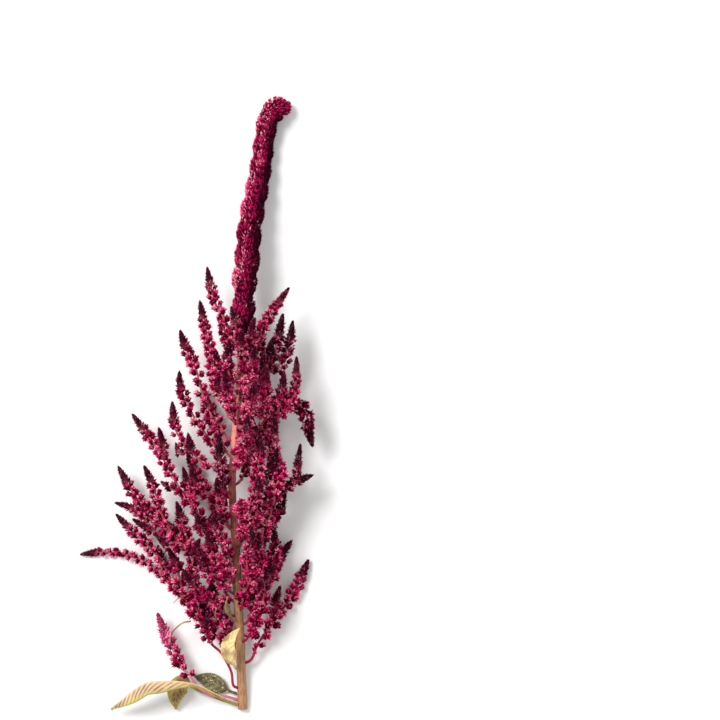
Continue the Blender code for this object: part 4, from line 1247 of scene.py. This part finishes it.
@dataclass
class Knot:
    """A knot of florets: its middle and radius, the way it faces, the spike's direction there, and
    its age, which is 1 at the spike's tip and falls toward its foot."""

    middle: np.ndarray
    radius: float
    facing: np.ndarray
    ahead: np.ndarray
    age: float


def place_on(line, run, axes, place, turn):
    """A point of the line at a run along it, the way on from there, and the way out at a turn."""
    ahead, across, up = axes
    k = min(int(np.searchsorted(run, place)), len(line) - 1)
    out = math.cos(turn) * across[k] + math.sin(turn) * up[k]
    return at_runs(line, [place])[0], ahead[k], out


def spike_knots(line, radii, bare, first_close, last, draw):
    """Knots down a side spike from the last run to its bare foot, round it by the golden angle:
    close together at first, then like beads."""
    run, axes = run_along(line), frames(line)
    knots = []
    place = last
    turn = draw.uniform(0, math.tau)
    while place > bare:
        outer = np.interp(place, run, radii)
        share, pitch, sink = CLOSE_KNOTS if place > first_close else BEADED_KNOTS
        if outer > LEAST_SPIKE:
            size = outer * share * draw.uniform(*KNOT_UNEVENNESS)
            spot, ahead, out = place_on(line, run, axes, place, turn)
            middle = spot + out * max(0.0, outer - size * sink)
            knots.append(Knot(middle, size, out, ahead, 1 - (run[-1] - place) / DARK_TIP))
        turn += GOLDEN_ANGLE
        place -= max(LEAST_PITCH, outer * pitch)
    return knots


def cap_directions(count, draw):
    """Directions spread evenly over a cap round +Z, turned by chance."""
    k = np.arange(count) + 0.5
    height = 1 - k / count * (1 - math.cos(CAP_REACH))
    turn = k * GOLDEN_ANGLE + draw.uniform(0, math.tau)
    flat = np.sqrt(1 - height**2)
    return np.stack([flat * np.cos(turn), flat * np.sin(turn), height], axis=1)


def bract_axes(ways, draw):
    """Axes of bracts that point the given ways, each turned about its own by chance."""
    across = unit(np.cross(ways, draw.normal(0, 1, ways.shape)))
    return np.stack([across, np.cross(ways, across), ways], axis=1)


def knot_bracts(knot, settings, draw):
    """Places, axes, sizes, tones and ages of a knot's bracts."""
    full = settings.bract_length / MM
    length = min(full, knot.radius * BRACT_KNOT_SHARE)
    surface = math.tau * knot.radius**2 * (1 - math.cos(CAP_REACH))
    room = settings.bract_room * (length / full) ** 2
    count = max(LEAST_BRACTS, round(surface / room))
    side = unit(np.cross(knot.facing, knot.ahead + NUDGE))
    turned = np.stack([side, np.cross(knot.facing, side), knot.facing])
    ways = cap_directions(count, draw) @ turned
    ways = unit(ways + draw.normal(0, BRACT_JITTER, ways.shape) + knot.ahead * BRACT_LEAN)
    sizes = length * draw.uniform(*BRACT_UNEVENNESS, count)
    places = knot.middle + ways * (knot.radius * BRACT_OUTREACH - length)
    axes = bract_axes(ways, draw)
    tones = draw.uniform(0, 1, count) * (1 - SHARED_TONE) + draw.uniform(0, SHARED_TONE)
    tones[draw.uniform(0, 1, count) < STRAW_CHANCE] = STRAW_TONE
    return places, axes, sizes, tones, np.full(count, knot.age)


def sheath_bracts(line, radii, first, sheath, settings, draw, shaded=0.0):
    """Bracts laid like scales on a close spike, from its tip down to a run of its line: places,
    axes, sizes, tones and ages, where a shaded spike carries its painted shade in place of age.
    Lumps of them stand out, each in its own tone. A share of painted shade darkens the side toward
    +X, and only a spike without it gets a last bract on its tip."""
    run, axes = run_along(line), frames(line)
    lump_run = np.cumsum(np.gradient(run) / np.maximum(radii * sheath.pitch, LEAST_SHEATH))
    lump_tones = draw.uniform(0, 1, (int(lump_run[-1]) + 2, sheath.lumps + 1))
    full = settings.bract_length / MM
    rows = []
    if not shaded:
        tip = axes[0][-1]
        rows.append((line[-1] + tip * (POINT_REACH - full), tip, full, draw.uniform(), 1.0))
    place = run[-1]
    turn = draw.uniform(0, math.tau)
    while place > first:
        outer = np.interp(place, run, radii)
        length = min(full, SHEATH_SHORTNESS * outer + SHEATH_LEAST_LENGTH)
        length *= 1 - sheath.fineness * max(0.0, 1 - (run[-1] - place) / FINE_REACH)
        room = settings.bract_room * sheath.room * (length / full) ** 2
        place -= room / (math.tau * max(outer, LEAST_SHEATH))
        to_tip = run[-1] - place
        turn = (turn + GOLDEN_ANGLE) % math.tau
        sector = (sheath.lumps * turn / math.tau + LUMP_START) % sheath.lumps
        height = np.interp(place, run, lump_run) + LUMP_OFFSET * int(sector)
        rise = math.sin(math.pi * (height % 1)) ** LUMP_ROUNDNESS
        furrow = abs(2 * (sector % 1) - 1) ** FURROW_SHARPNESS
        swell = LUMP_REACH - sheath.depth + sheath.depth * rise
        swell *= 1 - sheath.depth * FURROW_SHARE * furrow
        spot, ahead, out = place_on(line, run, axes, place, turn)
        lean = SHEATH_LEAN + max(0.0, 1 - to_tip / TIP_TURN_LENGTH) * TIP_TURN
        way = unit(out + ahead * lean + draw.normal(0, BRACT_JITTER, 3))
        foot = max(0.0, outer * swell - length * (way @ out))
        tone = lump_tones[int(height) % len(lump_tones), int(sector)] * SHARED_TONE
        tone += draw.uniform(0, 1 - SHARED_TONE)
        # Painted shade: bracts on the side toward +X get darker tones, and this painted shade goes
        # into the age mark in place of age
        shade = shaded * min(1.0, max(0.0, out[0] + SHADE_OFFSET))
        tone *= 1 - shade
        if draw.uniform() < STRAW_CHANCE:
            tone = STRAW_TONE
        age = shade if shaded else 1 - to_tip / DARK_TIP
        rows.append((spot + out * foot, way, length, tone, age))
    places, ways, lengths, tones, ages_and_shades = (np.array(column) for column in zip(*rows))
    axes = bract_axes(ways, draw)
    return places, axes, lengths * draw.uniform(*BRACT_UNEVENNESS, len(lengths)), tones, ages_and_shades


def twig_rings(line, radii, bare_length, into_stem=0.0):
    """Rings of a twig, slim where bare and filled out under the florets, its tip, and how covered
    each ring is."""
    run = run_along(line)
    line = smooth_line(line, TWIG_STEP)
    fine = run_along(line)
    outer = np.interp(fine / fine[-1] * run[-1], run, radii)
    cover = np.clip((fine - bare_length) / CORE_RISE, 0, 1)
    slim = TWIG_RADIUS * (1 + (TWIG_TIP_SHARE - 1) * fine / fine[-1])
    thick = np.maximum(slim, outer * CORE_SHARE)
    radii = np.minimum(slim + (thick - slim) * cover, np.maximum(outer, LEAST_RADIUS))
    rings = rings_along(line, radii, TWIG_SIDES)
    rings[0] -= unit(line[1] - line[0]) * into_stem
    return rings, line[-1] + unit(line[-1] - line[-2]), cover


def floret_mesh(name, knots, sheaths, twigs, shapes, settings, draw):
    """One mesh with every knot's heart and bracts, the sheaths, and the twigs that carry them."""
    bract, heart = shapes
    rows = [knot_bracts(knot, settings, draw) for knot in knots] + sheaths
    places, axes, sizes, tones, ages_and_shades = (np.concatenate(column) for column in zip(*rows))
    middles = np.array([knot.middle for knot in knots]).reshape(-1, 3)
    radii = np.array([knot.radius for knot in knots]) * HEART_SHARE
    upright = np.tile(np.eye(3), (len(knots), 1, 1))
    heart_ages = [knot.age for knot in knots]
    tips = np.array([vert.co.z for vert in bract.vertices])
    age_and_shade_marks = [np.repeat(ages_and_shades, len(tips)), np.repeat(heart_ages, len(heart.vertices))]
    bm = bmesh.new()
    take(bm, stamped(bract, places, axes, sizes))
    take(bm, stamped(heart, middles, upright, radii))
    floret_faces = len(bm.faces)
    for rings, tip, cover in twigs:
        twig = mesh_from(tube(rings, tip), "twig")
        centres = np.array([ring.mean(axis=0) for ring in rings])
        # A twig's cover goes into the age mark, which paints its core as painted shade
        age_and_shade_marks.append(cover[nearest(centres, corners(twig))])
        take(bm, twig)
    mesh = bpy.data.meshes.new(name)
    bm.to_mesh(mesh)
    bm.free()
    others = len(mesh.vertices) - len(tones) * len(tips)
    put_mark(mesh, "tone", np.append(np.repeat(tones, len(tips)), np.full(others, HEART_TONE)))
    # Hearts get tip 0, so the painted shade of a bract's base darkens them fully
    put_mark(mesh, "tip", np.append(np.tile(tips, len(tones)), np.zeros(others)))
    put_mark(mesh, "age", np.concatenate(age_and_shade_marks))
    slots = np.zeros(len(mesh.polygons), np.int32)
    slots[floret_faces:] = 1
    mesh.polygons.foreach_set("material_index", slots)
    return mesh


def build_sprays(settings):
    """Every side spray, each as one piece in the place of its CAD node."""
    slots = {row["node"]: row["material_slot"] for row in frame["record"]["subparts"]}
    layout = lay_out()
    shapes = bract_shape(settings), heart_shape()
    materials = {
        slot: (floret_material(slot, settings), twig_material(slot, settings)) for slot in FLORETS
    }
    for number, spray in enumerate(SPRAYS):
        slot = slots[spray]
        draw = np.random.default_rng(SPRAY_SEED + number)
        knots, sheaths, twigs = [], [], []
        for row in layout:
            if row.spray != spray:
                continue
            spike, line = row.spike, row.line
            run = run_along(line)
            radii = outer_radius(spike, run)
            first_close = (spike.bare + spike.beaded * (1 - spike.bare)) * run[-1]
            first_scale = max(first_close, run[-1] - FLORETS[slot].tip)
            knots += spike_knots(line, radii, spike.bare * run[-1], first_close, first_scale, draw)
            near_tip = np.maximum(0, 1 - (run[-1] - run) / POINT_LENGTH)
            slim = radii * TIP_SLIMNESS * (1 - POINT_SLIMNESS * near_tip)
            sheaths.append(sheath_bracts(line, slim, first_scale, SPRAY_SHEATH, settings, draw))
            sunk = 0.0 if row.parent else TWIG_INTO_STEM
            twigs.append(twig_rings(line, radii, first_scale, sunk))
        mesh = floret_mesh(spray, knots, sheaths, twigs, shapes, settings, draw)
        placed(mesh, spray + "_florets", slot, materials[slot], spray)


def build_terminal_spike(settings):
    """The terminal spike: a thick sheath of bracts in lumps round a core, hooked at the tip."""
    draw = np.random.default_rng(TERMINAL_SEED)
    line = smooth_line(TERMINAL_LINE, FINE_STEP)
    run = run_along(line)
    radii = terminal_radius(run / run[-1])
    line = np.vstack([line, line[-1] + unit(line[-1] - line[-2]) * TERMINAL_CAP])
    radii = np.append(radii, radii[-1] * TERMINAL_CAP_SHARE)
    sheath = sheath_bracts(line, radii, 0.0, TERMINAL_SHEATH, settings, draw, SHADED_SIDE)
    shapes = bract_shape(settings), heart_shape()
    core = twig_rings(line, radii * TERMINAL_CORE, 0.0)
    mesh = floret_mesh("terminal_spike", [], [sheath], [core], shapes, settings, draw)
    materials = floret_material("florets", settings), twig_material("florets", settings)
    placed(mesh, "terminal_spike_florets", "florets", materials, "terminal_spike")


def build_stem(settings):
    """The stem: ribs, slight nodes where the sprays leave it, and pale pith in its cut end."""
    line = smooth_line(STEM_LINE, STEM_STEP)
    _, across, up = frames(line)
    run = run_along(line)
    radii = stem_radius(run / run[-1])
    feet = np.array([height for height, *_ in SPRAYS.values()])
    turns = np.linspace(0, math.tau, STEM_SIDES, endpoint=False)
    rib = np.cos(settings.ribs * turns)
    height = settings.rib_height / MM
    rings = []
    for centre, *ways, radius in zip(line, across, up, radii):
        swell = NODE_SWELL * np.exp(-(((feet - centre[1]) / NODE_SPREAD) ** 2)).max()
        rings.append(ring_round(centre, *ways, radius + swell + height * (rib - 1) / 2))
    bm = tube(rings)
    for vert in bm.verts:
        vert.co.z = max(vert.co.z, 0.0)
    foot = min(bm.faces, key=lambda face: face.calc_center_median().y)
    bmesh.ops.inset_region(bm, faces=[foot], thickness=PITH_RIM * MM, depth=PITH_DEPTH * MM)
    foot.material_index = 1
    mesh = mesh_from(bm, "stem")
    mesh.set_sharp_from_angle(angle=SHARP_ANGLE)
    spots = corners(mesh)
    close = nearest(line, spots)
    reach = np.linalg.norm(spots - line[close], axis=1)
    put_mark(mesh, "furrow", np.clip((radii[close] - reach) / height, 0, 1))
    materials = stem_material(settings), pith_material(settings)
    placed(mesh, "ribbed_stem", "stem", materials, "main_stem")


def blade_shape(blade, share):
    """A leaf's width at a share of its length: a slim petiole, then a lance shape."""
    place = min(max((share - blade.petiole) / (1 - blade.petiole), 0.0), 1.0)
    swell = max(math.sin(math.pi * place**blade.skew), 0.0) ** BLADE_BLUNTNESS
    return max(PETIOLE_WIDTH, swell)


def build_leaf(name, blade, settings):
    """A folded, waved blade with a midrib and slanting side veins, in the place of its CAD node."""
    midrib_line = smooth_line(rooted(blade.height, blade.line), FINE_STEP)
    length = run_along(midrib_line)[-1]
    waves = round(float(np.clip(length / WAVE_PITCH, *WAVE_LIMITS)))
    steps = round(length / BLADE_STEP)
    line = evenly(midrib_line, length / steps)
    *_, seat = seated(line[0][1], line[0])
    _, across, up = frames(line, seat)
    bm = bmesh.new()
    bmesh.ops.create_grid(bm, x_segments=BLADE_COLUMNS, y_segments=steps, size=1.0)
    veins, margins = [], []
    for vert in bm.verts:
        k = round((vert.co.y + 1) / 2 * steps)
        side = vert.co.x
        share = k / steps
        shape = blade_shape(blade, share)
        width = blade.width / 2 * shape
        turned = across[k] * math.cos(blade.turn) + up[k] * math.sin(blade.turn)
        lifted = up[k] * math.cos(blade.turn) - across[k] * math.sin(blade.turn)
        wave = blade.waves * side**2 * math.sin(WAVE_STEP * share * waves) * shape
        phase = (share * length - abs(side) * width * blade.slant) / VEIN_SPACING
        vein = (0.5 + 0.5 * math.cos(math.tau * phase)) ** VEIN_SHARPNESS * (1 - side**4)
        vein *= min(1.0, shape * VEIN_FULLNESS) * (share > blade.petiole)
        vein = max(math.exp(-((side / MIDRIB_WIDTH) ** 2)), vein)
        rise = blade.fold * abs(side) * width + wave + vein * settings.vein_height / MM
        vert.co = Vector(line[k] + turned * side * width + lifted * rise) * MM
        vert.co.z = max(vert.co.z, settings.thickness)
        veins.append(vein)
        margins.append(abs(side))
    mesh = mesh_from(bm, name)
    put_mark(mesh, "vein", veins)
    put_mark(mesh, "margin", margins)
    colour = slot_colour(blade.slot) * blade.tint
    looks = blade.greening, blade.veining, blade.spotting
    materials = (leaf_material(name, colour, settings, *looks),)
    piece = placed(mesh, name + "_blade", blade.slot, materials, name)
    wall = piece.modifiers.new("Wall", "SOLIDIFY")
    wall.thickness = settings.thickness
    wall.offset = 0.0


def build_dry_stalks(settings):
    """Thin dry stalks that have lost their leaves."""
    bm = bmesh.new()
    for points, radius in DRY_STALKS:
        line = smooth_line(points, STALK_STEP)
        radii = np.linspace(*STALK_TAPER, len(line)) * radius
        take(bm, mesh_from(tube(rings_along(line, radii, STALK_SIDES)), "stalk"))
    mesh = mesh_from(bm, "dry_stalks")
    put_mark(mesh, "vein", np.zeros(len(mesh.vertices)))
    put_mark(mesh, "margin", np.full(len(mesh.vertices), STALK_MARGIN))
    material = leaf_material("dry_stalk", settings.stalk, settings)
    placed(mesh, "dry_stalks", "pale_leaf", (material,))


def build_leaves(settings):
    """The leaves, then the dry stalks."""
    for name, blade in LEAVES.items():
        build_leaf(name, blade, settings)
    build_dry_stalks(settings)


def build_stage(settings):
    """A plain pale floor, a soft key light from the upper left, an even fill and the camera."""
    bm = bmesh.new()
    bmesh.ops.create_grid(bm, x_segments=1, y_segments=1, size=FLOOR_REACH)
    mesh = mesh_from(bm, "floor")
    material, tree = new_material("floor")
    shader = tree.nodes["Principled BSDF"]
    give(tree, shader.inputs["Base Color"], settings.floor)
    give(tree, shader.inputs["Roughness"], FLOOR_ROUGHNESS)
    mesh.materials.append(material)
    floor = added("floor", mesh)

    light = bpy.data.lights.new("key", "SUN")
    light.energy = settings.key
    light.angle = settings.softness
    key = added("key", light)
    key.rotation_euler = Vector(KEY_FROM).to_track_quat("Z", "Y").to_euler()

    world = bpy.data.worlds.new("fill")
    world.use_nodes = True
    fill = world.node_tree.nodes["Background"].inputs
    give(world.node_tree, fill["Color"], (1, 1, 1))
    give(world.node_tree, fill["Strength"], settings.fill)
    scene = bpy.context.scene
    scene.world = world
    scene.view_settings.view_transform = "Standard"

    lens = bpy.data.cameras.new("camera")
    lens.sensor_width = SENSOR
    lens.lens = SENSOR * CAMERA_HEIGHT / VIEW_SIDE
    camera = added("camera", lens)
    camera.location = (*VIEW_MIDDLE, CAMERA_HEIGHT)
    scene.camera = camera


class AMARANTH_OT_stem(bpy.types.Operator):
    """Adds the ribbed stem with its nodes and its pale cut end."""

    bl_idname = "amaranth.stem"
    bl_label = "Add stem"

    def execute(self, context):
        build_stem(context.scene.amaranth_stem)
        return {"FINISHED"}


class AMARANTH_OT_terminal_spike(bpy.types.Operator):
    """Adds the terminal spike with its hooked tip."""

    bl_idname = "amaranth.terminal_spike"
    bl_label = "Add terminal spike"

    def execute(self, context):
        build_terminal_spike(context.scene.amaranth_florets)
        return {"FINISHED"}


class AMARANTH_OT_sprays(bpy.types.Operator):
    """Adds every side spray with its twigs and its knots of florets."""

    bl_idname = "amaranth.sprays"
    bl_label = "Add side sprays"

    def execute(self, context):
        build_sprays(context.scene.amaranth_florets)
        return {"FINISHED"}


class AMARANTH_OT_leaves(bpy.types.Operator):
    """Adds the leaves and the dry stalks near the cut end."""

    bl_idname = "amaranth.leaves"
    bl_label = "Add leaves"

    def execute(self, context):
        build_leaves(context.scene.amaranth_leaves)
        return {"FINISHED"}


class AMARANTH_OT_stage(bpy.types.Operator):
    """Adds the floor, the light and the camera."""

    bl_idname = "amaranth.stage"
    bl_label = "Add stage"

    def execute(self, context):
        build_stage(context.scene.amaranth_stage)
        return {"FINISHED"}


OPERATORS = (
    (AMARANTH_OT_stem, "amaranth_stem"),
    (AMARANTH_OT_terminal_spike, "amaranth_florets"),
    (AMARANTH_OT_sprays, "amaranth_florets"),
    (AMARANTH_OT_leaves, "amaranth_leaves"),
    (AMARANTH_OT_stage, "amaranth_stage"),
)
SETTINGS = {
    "amaranth_stem": StemSettings,
    "amaranth_florets": FloretSettings,
    "amaranth_leaves": LeafSettings,
    "amaranth_stage": StageSettings,
}


class AMARANTH_PT_head(bpy.types.Panel):
    """The seed head's pieces and their sizes and colours."""

    bl_idname = "AMARANTH_PT_head"
    bl_label = "Amaranth seed head"
    bl_space_type = "VIEW_3D"
    bl_region_type = "UI"
    bl_category = "Amaranth"

    def draw(self, context):
        for key, group in SETTINGS.items():
            box = self.layout.box()
            for operator, owner in OPERATORS:
                if owner == key:
                    box.operator(operator.bl_idname)
            for name in group.__annotations__:
                box.prop(getattr(context.scene, key), name)


CLASSES = (*SETTINGS.values(), *(operator for operator, _ in OPERATORS), AMARANTH_PT_head)


def register():
    for kind in CLASSES:
        bpy.utils.register_class(kind)
    for key, group in SETTINGS.items():
        setattr(bpy.types.Scene, key, bpy.props.PointerProperty(type=group))


def unregister():
    for key in SETTINGS:
        delattr(bpy.types.Scene, key)
    for kind in reversed(CLASSES):
        bpy.utils.unregister_class(kind)


def main():
    """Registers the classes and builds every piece."""
    register()
    bpy.ops.amaranth.stem()
    bpy.ops.amaranth.terminal_spike()
    bpy.ops.amaranth.sprays()
    bpy.ops.amaranth.leaves()
    bpy.ops.amaranth.stage()


if __name__ == "__main__":
    main()
